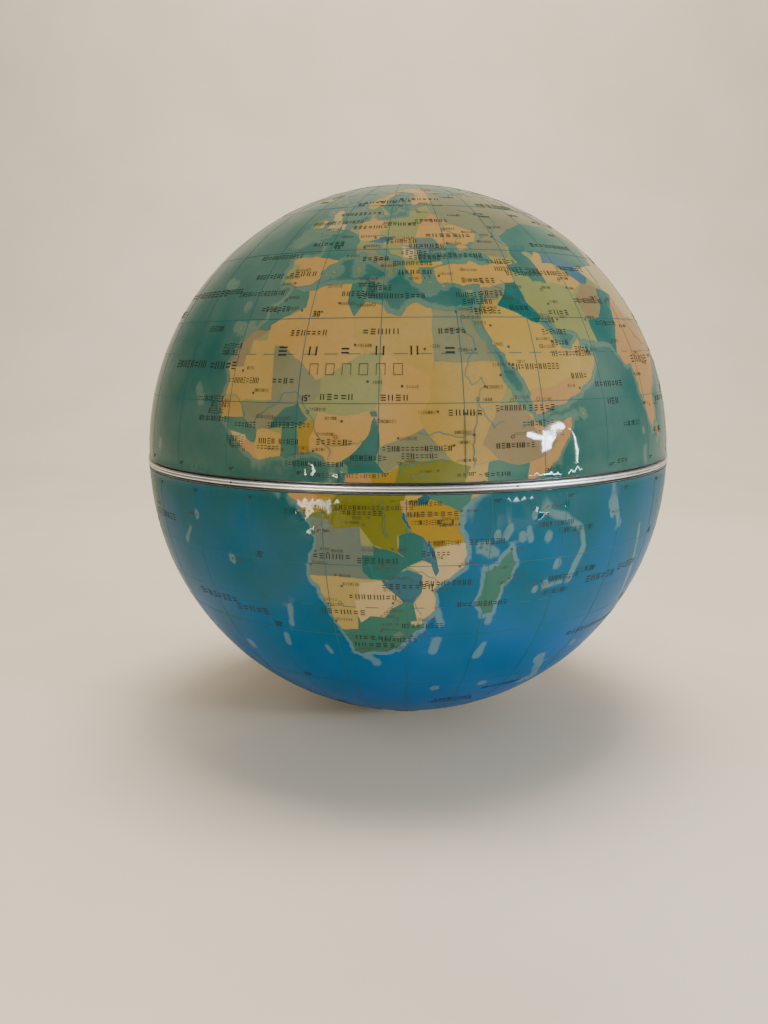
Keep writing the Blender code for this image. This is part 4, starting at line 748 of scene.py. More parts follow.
# Shallows away from a coast: a run of (longitude, latitude) places and the half width in degrees.
SHALLOWS = [
    ([(56.6, -5.4), (60.6, -7.2), (64.4, -9.6), (65.4, -13.2), (64.4, -16.4), (63.4, -19.2)], 0.95),
    ([(52.4, -8.8), (53.0, -10.6)], 0.7), ([(44.6, -11.0), (46.4, -13.0)], 0.8),
    ([(48.6, -8.4), (48.0, -9.6)], 0.8), ([(58.4, -20.8), (61.4, -20.2)], 0.7),
    ([(46.8, -25.4), (46.6, -27.2)], 0.7), ([(35.8, -23.8), (36.8, -27.0)], 0.7),
    ([(36.6, -31.0), (35.6, -34.0)], 0.8), ([(46.9, -32.8), (46.0, -36.0)], 0.9),
    ([(6.0, -24.6), (5.2, -28.4)], 0.6), ([(2.4, -31.6), (2.0, -34.0)], 0.5),
    ([(12.0, -33.4), (12.6, -35.2)], 0.5), ([(21.0, -35.6), (22.6, -36.8)], 1.2),
    ([(-9.0, 48.6), (-7.0, 51.0)], 2.6), ([(3.0, 54.0), (5.0, 57.0)], 2.6),
    ([(-29.0, 38.6), (-25.0, 37.4)], 0.8), ([(-20.0, -14.0), (-17.4, -11.0)], 0.5),
    ([(75.0, -10.0), (72.0, -2.0), (73.0, 8.0)], 0.7), ([(-30.0, 60.0), (-24.0, 63.0)], 1.2),
    ([(-52.0, 46.0), (-50.0, 43.6)], 2.0), ([(90.0, -30.0), (84.0, -12.0)], 0.7),
    ([(66.0, -40.0), (74.0, -50.0)], 1.3),
]

LON_FRONT = {1: 19.8, -1: 30.0}      # longitude that faces the front
SQUEEZE = {1: (1.6, 12.0), -1: (2.1, 15.0)}      # most a print is drawn in, and where, in degrees
CENTRE_Z = {1: UPPER_Z, -1: LOWER_Z}
PAST_RIM = 97.0          # degrees from the pole, for places that belong to the other half
EDGE_LIFT = 0.0003       # the film starts this far past the rim
RECESS_R = 0.0186        # recess at the lower pole that the foot sits in
RECESS_ROOF_Z = 0.0101
BUSH_HOLE_R = 0.0063
MESH_STEP = 0.8          # degrees between mesh points near a coast
SHALLOW_STEP = 0.34      # degrees between mesh points in shallows away from a coast
COAST_BAND = 3.4         # degrees from a coast within which the mesh stays fine
COAST_CLEAR = 0.25       # no loose mesh point comes nearer a coast than this
GRID_WIDE = 0.00024
COAST_WIDE = 0.00013
RIVER_WIDE = 0.00022
TOWN_RING_WIDE = 0.00016
COAT_IOR = 1.45
INK_GLOSS = 0.34
WRINKLE = 0.00011        # height of the film's creases
EDGE_BLUR = 0.09         # degrees each side of a shelf edge over which its colour fades


# ---- from the printed grid to the ball ---------------------------------------------------------
def real_latitude(lat, side):
    """Degrees from the rim for a printed latitude: each print is drawn in a little near its rim."""
    strength, middle = SQUEEZE[side]
    b = side * lat
    if b < 0:
        return b * (1 - strength * math.e / middle)
    t = b / middle
    return b - strength * t * math.exp(1 - t)


def flat(lon, lat, side):
    """A place on the map as a point of a flat disc, pole in the middle and rim at 90."""
    r = min(90.0 - real_latitude(lat, side), PAST_RIM)
    a = math.radians(lon - LON_FRONT[side])
    return (r * math.sin(a), -r * math.cos(a))


# Pinched creases in the film near the rims:
# (degrees right of the front, degrees from the rim, side, half width, depth).
CREASES = [
    (-16.6, 6.0, -1, 0.0048, -0.00050), (-12.8, 8.4, -1, 0.0030, -0.00034),
    (-20.4, 4.2, -1, 0.0022, 0.00024), (-13.0, 4.2, -1, 0.0022, 0.00026), (16.8, 7.4, -1, 0.0030, -0.00036),
    (13.6, 6.2, -1, 0.0018, 0.00022), (24.6, 4.6, -1, 0.0026, -0.00034), (21.4, 5.4, -1, 0.0018, 0.00022),
    (30.4, 3.4, -1, 0.0022, -0.00030), (35.4, 2.6, -1, 0.0018, 0.00024), (47.6, 5.2, -1, 0.0018, -0.00020),
    (-22.4, 1.8, 1, 0.0026, 0.00026), (-18.0, 1.8, 1, 0.0020, -0.00020), (-12.4, 1.6, 1, 0.0018, 0.00014),
    (40.0, 2.0, 1, 0.0024, -0.00016), (33.0, 3.0, 1, 0.0020, 0.00014), (30.4, 8.6, 1, 0.0052, 0.00012),
    (38.4, 5.8, 1, 0.0046, -0.00012), (100.0, 4.0, -1, 0.0030, 0.00020), (150.0, 5.0, -1, 0.0028, -0.00018),
    (210.0, 3.0, 1, 0.0026, 0.00014), (250.0, 6.0, -1, 0.0030, 0.00020), (300.0, 4.0, 1, 0.0022, -0.00014),
    (322.0, 6.4, -1, 0.0026, 0.00018),
]


def crease(x, y, z):
    """The pinched creases' share of the film's height at a point measured from its half's middle."""
    total = 0.0
    for turn, b, side, wide, depth in CREASES:
        if side * z < 0 or abs(z) > 0.03:
            continue
        a, e = math.radians(turn), math.radians(b)
        across = x * math.cos(a) + y * math.sin(a)
        if abs(across) > 3 * wide or x * math.sin(a) - y * math.cos(a) < 0:
            continue
        rise = abs(z) - GLOBE_R * math.sin(e)
        off = (across / wide) ** 2 + (rise / (0.55 * wide)) ** 2
        if off < 9:
            total += depth * math.exp(-off) * math.cos(2.4 * across / wide + 3.0 * rise / wide)
    return total


def ripple(x, y, z, b):
    """How far the film stands off here: it pulled into faint creases near the rim when formed."""
    fade = math.exp(-(b / 6.5) ** 2) * min(1.0, b / 0.7)
    broad = noise.noise(Vector((x * 75, y * 75, z * 120)))
    fine = noise.noise(Vector((x * 190, y * 190, z * 260 + 7)))
    sag = noise.noise(Vector((x * 26, y * 26, z * 26 + 3)))
    return WRINKLE * (fade * (broad + 0.45 * fine) + 0.30 * sag) + crease(x, y, z)


def on_ball(px, py, side, lift=0.0):
    """The flat disc's point on the ball's printed surface."""
    r = min(math.hypot(px, py), 90.0)
    a = math.atan2(px, -py)
    b = math.radians(90.0 - r)
    height = EDGE_LIFT * math.cos(b) ** 2 + GLOBE_R * math.sin(b)
    flare = FLARE * max(0.0, 1 - height / 0.0018) ** 1.5
    x, y = math.sin(a), -math.cos(a)
    ball = Vector((x * math.cos(b), y * math.cos(b), side * math.sin(b)))
    off = FILM_LIFT + lift + ripple(ball.x * GLOBE_R, ball.y * GLOBE_R, side * height, 90.0 - r)
    across = GLOBE_R * math.cos(b) + flare
    return Vector((x * across, y * across, CENTRE_Z[side] + side * height)) + ball * off


def print_normal(px, py, side):
    step = 0.12
    scale = min(1.0, 89.9 / max(math.hypot(px, py), 1e-6))
    px, py = px * scale, py * scale
    across = on_ball(px + step, py, side) - on_ball(px - step, py, side)
    along = on_ball(px, py + step, side) - on_ball(px, py - step, side)
    return (across.cross(along) * side).normalized()


# ---- outlines ----------------------------------------------------------------------------------
def rough_edge(p, q, share, finest):
    """Points from p up to but not including q, bent the same way whichever end it starts from."""
    flip = q < p
    a, b = (q, p) if flip else (p, q)
    dice = random.Random(repr((a, b)))

    def split(a, b):
        squash = math.cos(math.radians((a[1] + b[1]) / 2))
        dx, dy = (b[0] - a[0]) * squash, b[1] - a[1]
        length = math.hypot(dx, dy)
        if length < finest:
            return [a]
        push = dice.gauss(0, share) * min(1.0, 3.5 / length)
        push = max(-2.2 * share, min(2.2 * share, push))
        middle = ((a[0] + b[0]) / 2 - push * dy / max(squash, 0.1), (a[1] + b[1]) / 2 + push * dx)
        return split(a, middle) + split(middle, b)

    run = split(a, b)
    if flip:
        run = [b] + run[:0:-1]
    return run


def rough_loop(points, share, finest):
    out = []
    for i, p in enumerate(points):
        out += rough_edge(p, points[(i + 1) % len(points)], share, finest)
    return out


def rough_line(points, share, finest):
    out = []
    for p, q in zip(points, points[1:]):
        out += rough_edge(p, q, share, finest)
    return out + [points[-1]]


def round_isle(lon, lat, radius):
    dice = random.Random(repr((lon, lat)))
    lean = dice.uniform(0, math.pi)
    out = []
    for i in range(9):
        turn = math.tau * i / 9
        x = radius * math.cos(turn) * dice.uniform(0.7, 1.2)
        y = 0.6 * radius * math.sin(turn) * dice.uniform(0.7, 1.2)
        east = x * math.cos(lean) - y * math.sin(lean)
        north = x * math.sin(lean) + y * math.cos(lean)
        out.append((lon + east / math.cos(math.radians(lat)), lat + north))
    return out


coasts = [rough_loop(p, 0.085, 0.55) for p in LANDS.values()]
coasts += [round_isle(*isle) for isle in ISLES]
shores = [rough_loop(p, 0.07, 0.6) for p in LAKES.values()]
borders = [(colour, rough_loop(p, 0.035, 1.6)) for colour, p in AREAS]


def touches(loop, side):
    return max(side * lat for _, lat in loop) > -0.5


def inside(points, loop):
    """Which of these points lie inside a closed outline."""
    found = np.zeros(len(points), bool)
    low, high = loop.min(0), loop.max(0)
    near = np.nonzero(np.all((points >= low) & (points <= high), axis=1))[0]
    if not len(near):
        return found
    x, y = points[near, 0], points[near, 1]
    crossed = np.zeros(len(near), bool)
    x1, y1 = loop[-1]
    for x2, y2 in loop:
        if y1 != y2:
            hit = ((y1 > y) != (y2 > y)) & (x < (x2 - x1) * (y - y1) / (y2 - y1) + x1)
            crossed ^= hit
        x1, y1 = x2, y2
    found[near] = crossed
    return found


def from_leg(spot, a, b):
    """Distance of a flat-disc point from the straight leg a to b."""
    ux, uy = b[0] - a[0], b[1] - a[1]
    along = ((spot[0] - a[0]) * ux + (spot[1] - a[1]) * uy) / (ux * ux + uy * uy)
    along = max(0.0, min(1.0, along))
    return math.hypot(spot[0] - a[0] - along * ux, spot[1] - a[1] - along * uy)


def flat_loop(loop, side):
    return np.array([flat(lon, lat, side) for lon, lat in loop])


# Pits in the ring: (degrees right of the front, metres above the ring's middle).
PITS = [
    (19.6, 0.0), (-33.5, -0.0001), (71.0, 0.0003), (140.0, 0.0), (214.0, -0.0003), (262.0, 0.0002),
]


# ---- materials ---------------------------------------------------------------------------------
def new_material(name, colour, rough, metal=0.0):
    material = bpy.data.materials.new(name)
    material.use_nodes = True
    shader = material.node_tree.nodes["Principled BSDF"]
    shader.inputs["Base Color"].default_value = (*colour, 1)
    shader.inputs["Roughness"].default_value = rough
    shader.inputs["Metallic"].default_value = metal
    return material, material.node_tree, shader


def grain(tree, scale, detail=4.0, stretch=(1, 1, 1)):
    """Noise that stays with the piece, from its own coordinates."""
    place = tree.nodes.new("ShaderNodeTexCoord")
    turn = tree.nodes.new("ShaderNodeMapping")
    turn.inputs["Scale"].default_value = stretch
    cloud = tree.nodes.new("ShaderNodeTexNoise")
    cloud.inputs["Scale"].default_value = scale
    cloud.inputs["Detail"].default_value = detail
    tree.links.new(place.outputs["Object"], turn.inputs["Vector"])
    tree.links.new(turn.outputs["Vector"], cloud.inputs["Vector"])
    return cloud.outputs["Fac"]


def ramp(tree, source, low, high, start=0.35, end=0.65):
    """Turns noise into a value between low and high."""
    span = tree.nodes.new("ShaderNodeMapRange")
    span.inputs["From Min"].default_value = start
    span.inputs["From Max"].default_value = end
    span.inputs["To Min"].default_value = low
    span.inputs["To Max"].default_value = high
    tree.links.new(source, span.inputs["Value"])
    return span.outputs["Result"]


def add_bump(tree, shader, height, strength, depth):
    bump = tree.nodes.new("ShaderNodeBump")
    bump.inputs["Strength"].default_value = strength
    bump.inputs["Distance"].default_value = depth
    tree.links.new(height, bump.inputs["Height"])
    tree.links.new(bump.outputs["Normal"], shader.inputs["Normal"])
    return bump


def tint(tree, first, second, amount):
    mix = tree.nodes.new("ShaderNodeMix")
    mix.data_type = "RGBA"
    for socket, value in ((mix.inputs[6], first), (mix.inputs[7], second)):
        if isinstance(value, tuple):
            socket.default_value = (*value, 1)
        else:
            tree.links.new(value, socket)
    tree.links.new(amount, mix.inputs["Factor"])
    return mix.outputs[2]


def print_material(name, dust_and_sheen, gloss):
    """Map film: printed colours under a clear gloss coat, with orange peel and a faint patchy pale veil that
    is part wear and part painted warm sheen, stronger on the upper half.
    """
    material, tree, shader = new_material(name, (0.1, 0.3, 0.3), 0.42)
    printed = tree.nodes.new("ShaderNodeAttribute")
    printed.attribute_name = "print"
    # Patchy pale veil: part faint wear, part painted warm sheen of the room, given more strongly to the upper
    # half.
    wear_and_sheen = ramp(tree, grain(tree, 28, 6), 0.0, dust_and_sheen)
    haze = tint(tree, printed.outputs["Color"], srgb(178, 170, 146), wear_and_sheen)
    speck = ramp(tree, grain(tree, 620, 3), 0.0, 0.10, 0.5, 0.8)
    colour = tint(tree, haze, srgb(44, 70, 72), speck)
    tree.links.new(colour, shader.inputs["Base Color"])
    tree.links.new(ramp(tree, grain(tree, 55, 5), 0.34, 0.52), shader.inputs["Roughness"])
    shader.inputs["Specular IOR Level"].default_value = 0.0
    shader.inputs["Coat Weight"].default_value = gloss
    shader.inputs["Coat IOR"].default_value = COAT_IOR
    tree.links.new(ramp(tree, grain(tree, 90, 4), 0.025, 0.07), shader.inputs["Coat Roughness"])
    bump = add_bump(tree, shader, grain(tree, 230, 2), 0.10, 0.0002)
    tree.links.new(bump.outputs["Normal"], shader.inputs["Coat Normal"])
    return material


def ink_material(name, colour, rough=0.45):
    """Printed ink under the same coat."""
    material, tree, shader = new_material(name, colour, rough)
    tree.links.new(ramp(tree, grain(tree, 300, 3), rough - 0.08, rough + 0.08), shader.inputs["Roughness"])
    shader.inputs["Specular IOR Level"].default_value = 0.0
    shader.inputs["Coat Weight"].default_value = INK_GLOSS
    shader.inputs["Coat IOR"].default_value = COAT_IOR
    shader.inputs["Coat Roughness"].default_value = 0.045
    add_bump(tree, shader, grain(tree, 500, 2), 0.08, 0.0001)
    return material


def bright_material():
    """Bright plating, darkened in the groove between the beads as painted shade, and darkened the same way at
    a few pits.
    """
    material, tree, shader = new_material("bright_plating", (0.86, 0.86, 0.84), 0.36, 1.0)
    place = tree.nodes.new("ShaderNodeTexCoord")
    parts = tree.nodes.new("ShaderNodeSeparateXYZ")
    tree.links.new(place.outputs["Object"], parts.inputs["Vector"])
    # Mask for the groove between the beads, where the dark colour is painted shade.
    above = ramp(tree, parts.outputs["Z"], 0.0, 1.0, RING_Z + 0.00002, RING_Z + 0.00010)
    below = ramp(tree, parts.outputs["Z"], 1.0, 0.0, RING_Z - 0.00010, RING_Z - 0.00002)
    open_share = tree.nodes.new("ShaderNodeMath")
    open_share.operation = "ADD"
    tree.links.new(above, open_share.inputs[0])
    tree.links.new(below, open_share.inputs[1])
    clear = open_share.outputs[0]
    for turn, drop in PITS:
        gap = tree.nodes.new("ShaderNodeVectorMath")
        gap.operation = "DISTANCE"
        a = math.radians(turn)
        gap.inputs[1].default_value = (RING_R * math.sin(a), -RING_R * math.cos(a), RING_Z + drop)
        tree.links.new(place.outputs["Object"], gap.inputs[0])
        both = tree.nodes.new("ShaderNodeMath")
        both.operation = "MULTIPLY"
        tree.links.new(clear, both.inputs[0])
        tree.links.new(ramp(tree, gap.outputs["Value"], 0.0, 1.0, 0.0003, 0.0006), both.inputs[1])
        clear = both.outputs[0]
    smear = ramp(tree, grain(tree, 120, 5), 0.0, 0.35, 0.5, 0.75)
    metal = tint(tree, (0.90, 0.90, 0.88), (0.52, 0.50, 0.46), smear)
    # Dark colour in the groove (painted shade) and at the pits.
    tree.links.new(tint(tree, (0.10, 0.095, 0.09), metal, clear), shader.inputs["Base Color"])
    tree.links.new(ramp(tree, grain(tree, 90, 4), 0.30, 0.42), shader.inputs["Roughness"])
    add_bump(tree, shader, grain(tree, 400, 3), 0.05, 0.0001)
    return material


def plain_material(name, colour, other, rough, scale, metal=0.0, bump=0.2, depth=0.0002):
    """One colour drifting to another with the piece's own grain."""
    material, tree, shader = new_material(name, colour, rough, metal)
    drift = ramp(tree, grain(tree, scale, 5), 0.0, 1.0)
    tree.links.new(tint(tree, colour, other, drift), shader.inputs["Base Color"])
    wear = ramp(tree, grain(tree, scale * 1.7, 4), rough - 0.08, rough + 0.10)
    tree.links.new(wear, shader.inputs["Roughness"])
    add_bump(tree, shader, grain(tree, scale * 6, 3), bump, depth)
    return material


# The upper film gets more of the pale veil, as painted sheen of the warm room.
north_film = print_material("northern_film", 0.10, 0.55)
south_film = print_material("southern_film", 0.02, 0.32)
grid_ink = ink_material("grid_ink", srgb(38, 78, 78))
coast_ink = ink_material("coast_ink", srgb(84, 100, 76))
river_ink = ink_material("river_ink", srgb(30, 92, 96))
name_ink = ink_material("name_ink", srgb(36, 40, 34))
town_ink = ink_material("town_ink", srgb(66, 62, 48))
plating = bright_material()
black = plain_material("black_moulded", srgb(26, 26, 27), srgb(40, 39, 38), 0.42, 60)
zinc = plain_material("zinc_plate", srgb(150, 150, 142), srgb(116, 112, 98), 0.36, 140, 1.0)
iron = plain_material("cast_iron", srgb(74, 72, 70), srgb(48, 44, 42), 0.62, 160, 1.0, 0.5, 0.0004)
nylon = plain_material("natural_nylon", srgb(214, 208, 188), srgb(196, 188, 164), 0.46, 90)
rubber = plain_material("foot_rubber", srgb(34, 34, 34), srgb(52, 50, 48), 0.80, 120, 0.0, 0.4)


# ---- meshes ------------------------------------------------------------------------------------
def add_mesh(name, verts, faces, material, body, replaced=()):
    mesh = bpy.data.meshes.new(name)
    mesh.from_pydata([tuple(v) for v in verts], [], faces)
    mesh.validate()
    mesh.update()
    thing = bpy.data.objects.new(name, mesh)
    bpy.context.scene.collection.objects.link(thing)
    mesh.materials.append(material)
    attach(thing, body)
    if replaced:
        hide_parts(*replaced)
    return thing


def turned(name, outline, steps, material, body, replaced=(), sharp=40):
    """A closed outline of (radius, height) points turned round the Z axis."""
    verts, faces = [], []
    count = len(outline)
    for i in range(steps):
        a = math.tau * i / steps
        verts += [(r * math.sin(a), -r * math.cos(a), z) for r, z in outline]
    for i in range(steps):
        here, after = i * count, (i + 1) % steps * count
        for j in range(count):
            k = (j + 1) % count
            faces.append((here + j, after + j, after + k, here + k))
    thing = add_mesh(name, verts, faces, material, body, replaced)
    work = bmesh.new()
    work.from_mesh(thing.data)
    bmesh.ops.remove_doubles(work, verts=work.verts, dist=1e-7)
    bmesh.ops.recalc_face_normals(work, faces=work.faces)
    work.to_mesh(thing.data)
    work.free()
    thing.data.shade_smooth()
    thing.data.set_sharp_from_angle(angle=math.radians(sharp))
    return thing


# ---- the printed shells ------------------------------------------------------------------------
def shelf_width(lie):
    """Degrees of pale shelf off the coast near a point of the ball, and the noise behind it."""
    drift = noise.noise(Vector(lie) * 60)
    return 0.85 + 0.5 * drift, drift


def shelf_edge(loop, side):
    """Points on both sides of a coast's shelf edge, so the edge prints crisply."""
    points = []
    turn = -1 if sum(a[0] * b[1] - b[0] * a[1] for a, b in zip(loop, np.roll(loop, -1, 0))) < 0 else 1
    for before, (x, y), after in zip(np.roll(loop, 1, 0), loop, np.roll(loop, -1, 0)):
        dx, dy = after[0] - before[0], after[1] - before[1]
        size = math.hypot(dx, dy)
        if math.hypot(x, y) > 86 or size < 1e-6:
            continue
        wide = shelf_width(on_ball(x, y, side))[0]
        for gap in (wide - EDGE_BLUR, wide + EDGE_BLUR):
            points.append((x + turn * dy / size * gap, y - turn * dx / size * gap))
    return points


def scatter(side, coast_tree):
    """Points all over the disc: close together near coasts and rim, further apart elsewhere."""
    points = []
    for path, size in shallows[side]:
        low = np.min(path, 0) - size - 0.6
        high = np.max(path, 0) + size + 0.6
        for x in np.arange(low[0], high[0], SHALLOW_STEP):
            for y in np.arange(low[1], high[1], SHALLOW_STEP):
                off = min(from_leg((x, y), p, q) for p, q in zip(path, path[1:]))
                near = coast_tree.find((x, y, 0))[2]
                if off < size + 0.6 and math.hypot(x, y) < 87 and near > COAST_CLEAR:
                    points.append((x, y))
    rows = int(90 / MESH_STEP)
    for j in range(-rows, rows + 1):
        for i in range(-rows, rows + 1):
            x = (i + 0.5 * (j % 2)) * MESH_STEP
            y = j * MESH_STEP * 0.866
            r = math.hypot(x, y)
            if r > 87.6:
                continue
            near = coast_tree.find((x, y, 0))[2]
            if near > COAST_BAND and (i % 3 or j % 3):
                continue
            if near < COAST_CLEAR:
                continue
            points.append((x, y))
    for r, count in ((89.6, RIM_STEPS), (89.1, RIM_STEPS), (88.3, RIM_STEPS)):
        for i in range(count):
            a = math.tau * (i + 0.5 * (r != 89.1)) / count
            points.append((r * math.sin(a), -r * math.cos(a)))
    return points


def ring_edges(points, edges, r, count):
    first = len(points)
    for i in range(count):
        a = math.tau * i / count
        points.append((r * math.sin(a), -r * math.cos(a)))
        edges.append((first + i, first + (i + 1) % count))


def shell(side, name, material, body, replaced):
    """One printed half as a closed solid: film outside, rolled rim, plain moulded wall inside."""
    pole_hole = math.degrees(math.asin(RECESS_R / GLOBE_R)) if side < 0 else 0.0
    near_coasts = [flat_loop(c, side) for c in coasts if touches(c, side)]
    near_shores = [flat_loop(s, side) for s in shores if touches(s, side)]
    near_areas = [(colour, flat_loop(a, side)) for colour, a in borders if touches(a, side)]
    total = sum(len(c) for c in near_coasts)
    coast_tree = kdtree.KDTree(total)
    i = 0
    for loop in near_coasts:
        for x, y in loop:
            coast_tree.insert((x, y, 0), i)
            i += 1
    coast_tree.balance()

    points, edges = [], []
    ring_edges(points, edges, 90.0, RIM_STEPS)
    if pole_hole:
        ring_edges(points, edges, pole_hole, 96)
    for loop in near_coasts + near_shores + [a for _, a in near_areas]:
        first = len(points)
        points += [tuple(p) for p in loop]
        edges += [(first + k, first + (k + 1) % len(loop)) for k in range(len(loop))]
    points += scatter(side, coast_tree)
    for loop in near_coasts:
        points += shelf_edge(loop, side)
    out = delaunay_2d_cdt([Vector(p) for p in points], edges, [], 0, 1e-4)
    places = np.array([tuple(v) for v in out[0]])
    triangles = np.array([tuple(f) for f in out[2]])
    reach = np.hypot(places[:, 0], places[:, 1])
    middle = places[triangles].mean(1)
    from_pole = np.hypot(middle[:, 0], middle[:, 1])
    clear_of_hole = from_pole > pole_hole * 0.9995
    triangles = triangles[(from_pole < 89.995) & clear_of_hole & (reach[triangles].max(1) < 90.02)]
    middle = places[triangles].mean(1)

    land = np.zeros(len(triangles), bool)
    for loop in near_coasts:
        land |= inside(middle, loop)
    for loop in near_shores:
        land &= ~inside(middle, loop)
    paint = np.tile(np.array(LIME), (len(triangles), 1))
    for colour, loop in near_areas:
        paint[inside(middle, loop)] = colour

    used = np.unique(triangles)
    fresh = {old: new for new, old in enumerate(used)}
    verts = [on_ball(places[v][0], places[v][1], side) for v in used]
    normals = [print_normal(places[v][0], places[v][1], side) for v in used]
    faces = [tuple(fresh[v] for v in (t if side > 0 else t[::-1])) for t in triangles]

    near_rim, sea_at_pole = SEA_WITH_PAINTED_LIGHT[side]
    water = []
    for v in used:
        x, y = places[v]
        gap = coast_tree.find((x, y, 0))[2]
        lie = on_ball(x, y, side)
        wide, drift = shelf_width(lie)
        share = max(0.0, min(1.0, (wide - gap) / EDGE_BLUR / 2 + 0.5))
        for path, size in shallows[side]:
            off = min(from_leg((x, y), p, q) for p, q in zip(path, path[1:]))
            patchy = 1 + 0.9 * drift + 0.7 * noise.noise(Vector(lie) * 190)
            share = max(share, min(1.0, (size * patchy - off) / 0.35 + 0.5))
        # The sea's shift from rim to pole is painted light, standing for how light and reflections fall on
        # each half.
        depth = min(1.0, max(0.0, (90 - math.hypot(x, y)) / 62 + 0.25 * drift))
        sea = [p + (q - p) * depth for p, q in zip(near_rim, sea_at_pole)]
        share *= SHELF_SHARE[side]
        water.append([s + (h - s) * share for s, h in zip(sea, SHELF[side])])

    colours = []
    for t, dry, shade in zip(triangles, land, paint):
        order = t if side > 0 else t[::-1]
        colours += [tuple(shade) if dry else tuple(water[fresh[v]]) for v in order]

    # rolled rim and inside wall, on the same spokes as the film's edge
    rim = [fresh[v] for v in used if reach[v] > 89.98]
    rim.sort(key=lambda v: math.atan2(verts[v].x, -verts[v].y))
    spokes = [math.atan2(verts[v].x, -verts[v].y) for v in rim]
    profile = [(GLOBE_R + FLARE - 0.00002, 0.0001), (GLOBE_R + FLARE - 0.0003, 0.0)]
    inner = GLOBE_R - WALL
    profile += [(inner + 0.0003, 0.0), (inner, 0.0003)]
    top = 90.0 if side > 0 else math.degrees(math.acos((RECESS_R + WALL) / inner))
    profile += [(inner * math.cos(math.radians(d)), inner * math.sin(math.radians(d)))
                for d in np.linspace(3, top - (3 if side > 0 else 0), 30)]
    if side < 0:
        roof = LOWER_Z - RECESS_ROOF_Z
        profile += [(RECESS_R + WALL, roof - WALL), (BUSH_HOLE_R, roof - WALL), (BUSH_HOLE_R, roof)]
        profile += [(RECESS_R, roof), (RECESS_R, roof + 0.004)]
    plain = PLAIN_WALL
    row = rim
    for r, h in profile:
        first = len(verts)
        verts += [Vector((r * math.sin(a), -r * math.cos(a), CENTRE_Z[side] + side * h)) for a in spokes]
        step = list(range(first, first + len(spokes)))
        for k in range(len(spokes)):
            m = (k + 1) % len(spokes)
            quad = (row[k], step[k], step[m], row[m])
            faces.append(quad if side > 0 else quad[::-1])
            # The rim's edge next to the ring takes the darker sea colour, painted shade in the seam.
            colours += [RIM_SEAM_SHADE[side] if h < 0.0002 and r > GLOBE_R - 0.0004 else plain] * 4
        row = step
    if side > 0:
        verts.append(Vector((0, 0, CENTRE_Z[side] + inner)))
        for k in range(len(row)):
            faces.append((row[k], len(verts) - 1, row[(k + 1) % len(row)]))
            colours += [plain] * 3
    else:
        hole = [fresh[v] for v in used if abs(reach[v] - pole_hole) < 0.02]
        hole.sort(key=lambda v: math.atan2(verts[v].x, -verts[v].y))
        before = len(faces)
        join_rows(verts, faces, row, hole)
        colours += [plain] * (3 * (len(faces) - before))

    thing = add_mesh(name, verts, faces, material, body, replaced)
    mesh = thing.data
    layer = mesh.color_attributes.new("print", "FLOAT_COLOR", "CORNER")
    layer.data.foreach_set("color", [c for rgb in colours for c in (*rgb, 1.0)])
    mesh.shade_smooth()
    mesh.set_sharp_from_angle(angle=math.radians(50))
    smooth = [tuple(n) for n in normals] + [(0, 0, 0)] * (len(verts) - len(normals))
    mesh.normals_split_custom_set_from_vertices(smooth)
    return thing


def join_rows(verts, faces, outer, inner):
    """Triangles between two closed rows of points that both run once round the axis."""
    def angle(v):
        return math.atan2(verts[v].x, -verts[v].y)

    i = j = 0
    while i < len(outer) or j < len(inner):
        a, b = outer[i % len(outer)], inner[j % len(inner)]
        next_a, next_b = outer[(i + 1) % len(outer)], inner[(j + 1) % len(inner)]
        turn_a = angle(next_a) + math.tau * ((i + 1) // len(outer))
        turn_b = angle(next_b) + math.tau * ((j + 1) // len(inner))
        if i < len(outer) and (turn_a <= turn_b or j >= len(inner)):
            faces.append((a, next_a, b))
            i += 1
        else:
            faces.append((a, next_b, b))
            j += 1


shallows = {1: [], -1: []}
for path, size in SHALLOWS:
    side = 1 if path[0][1] > 0 else -1
    shallows[side].append(([flat(lon, lat, side) for lon, lat in path], size))

shell(1, "upper_map_shell", north_film, "lid", ["upper_shell"])
shell(-1, "lower_map_shell", south_film, "bowl", ["lower_shell"])


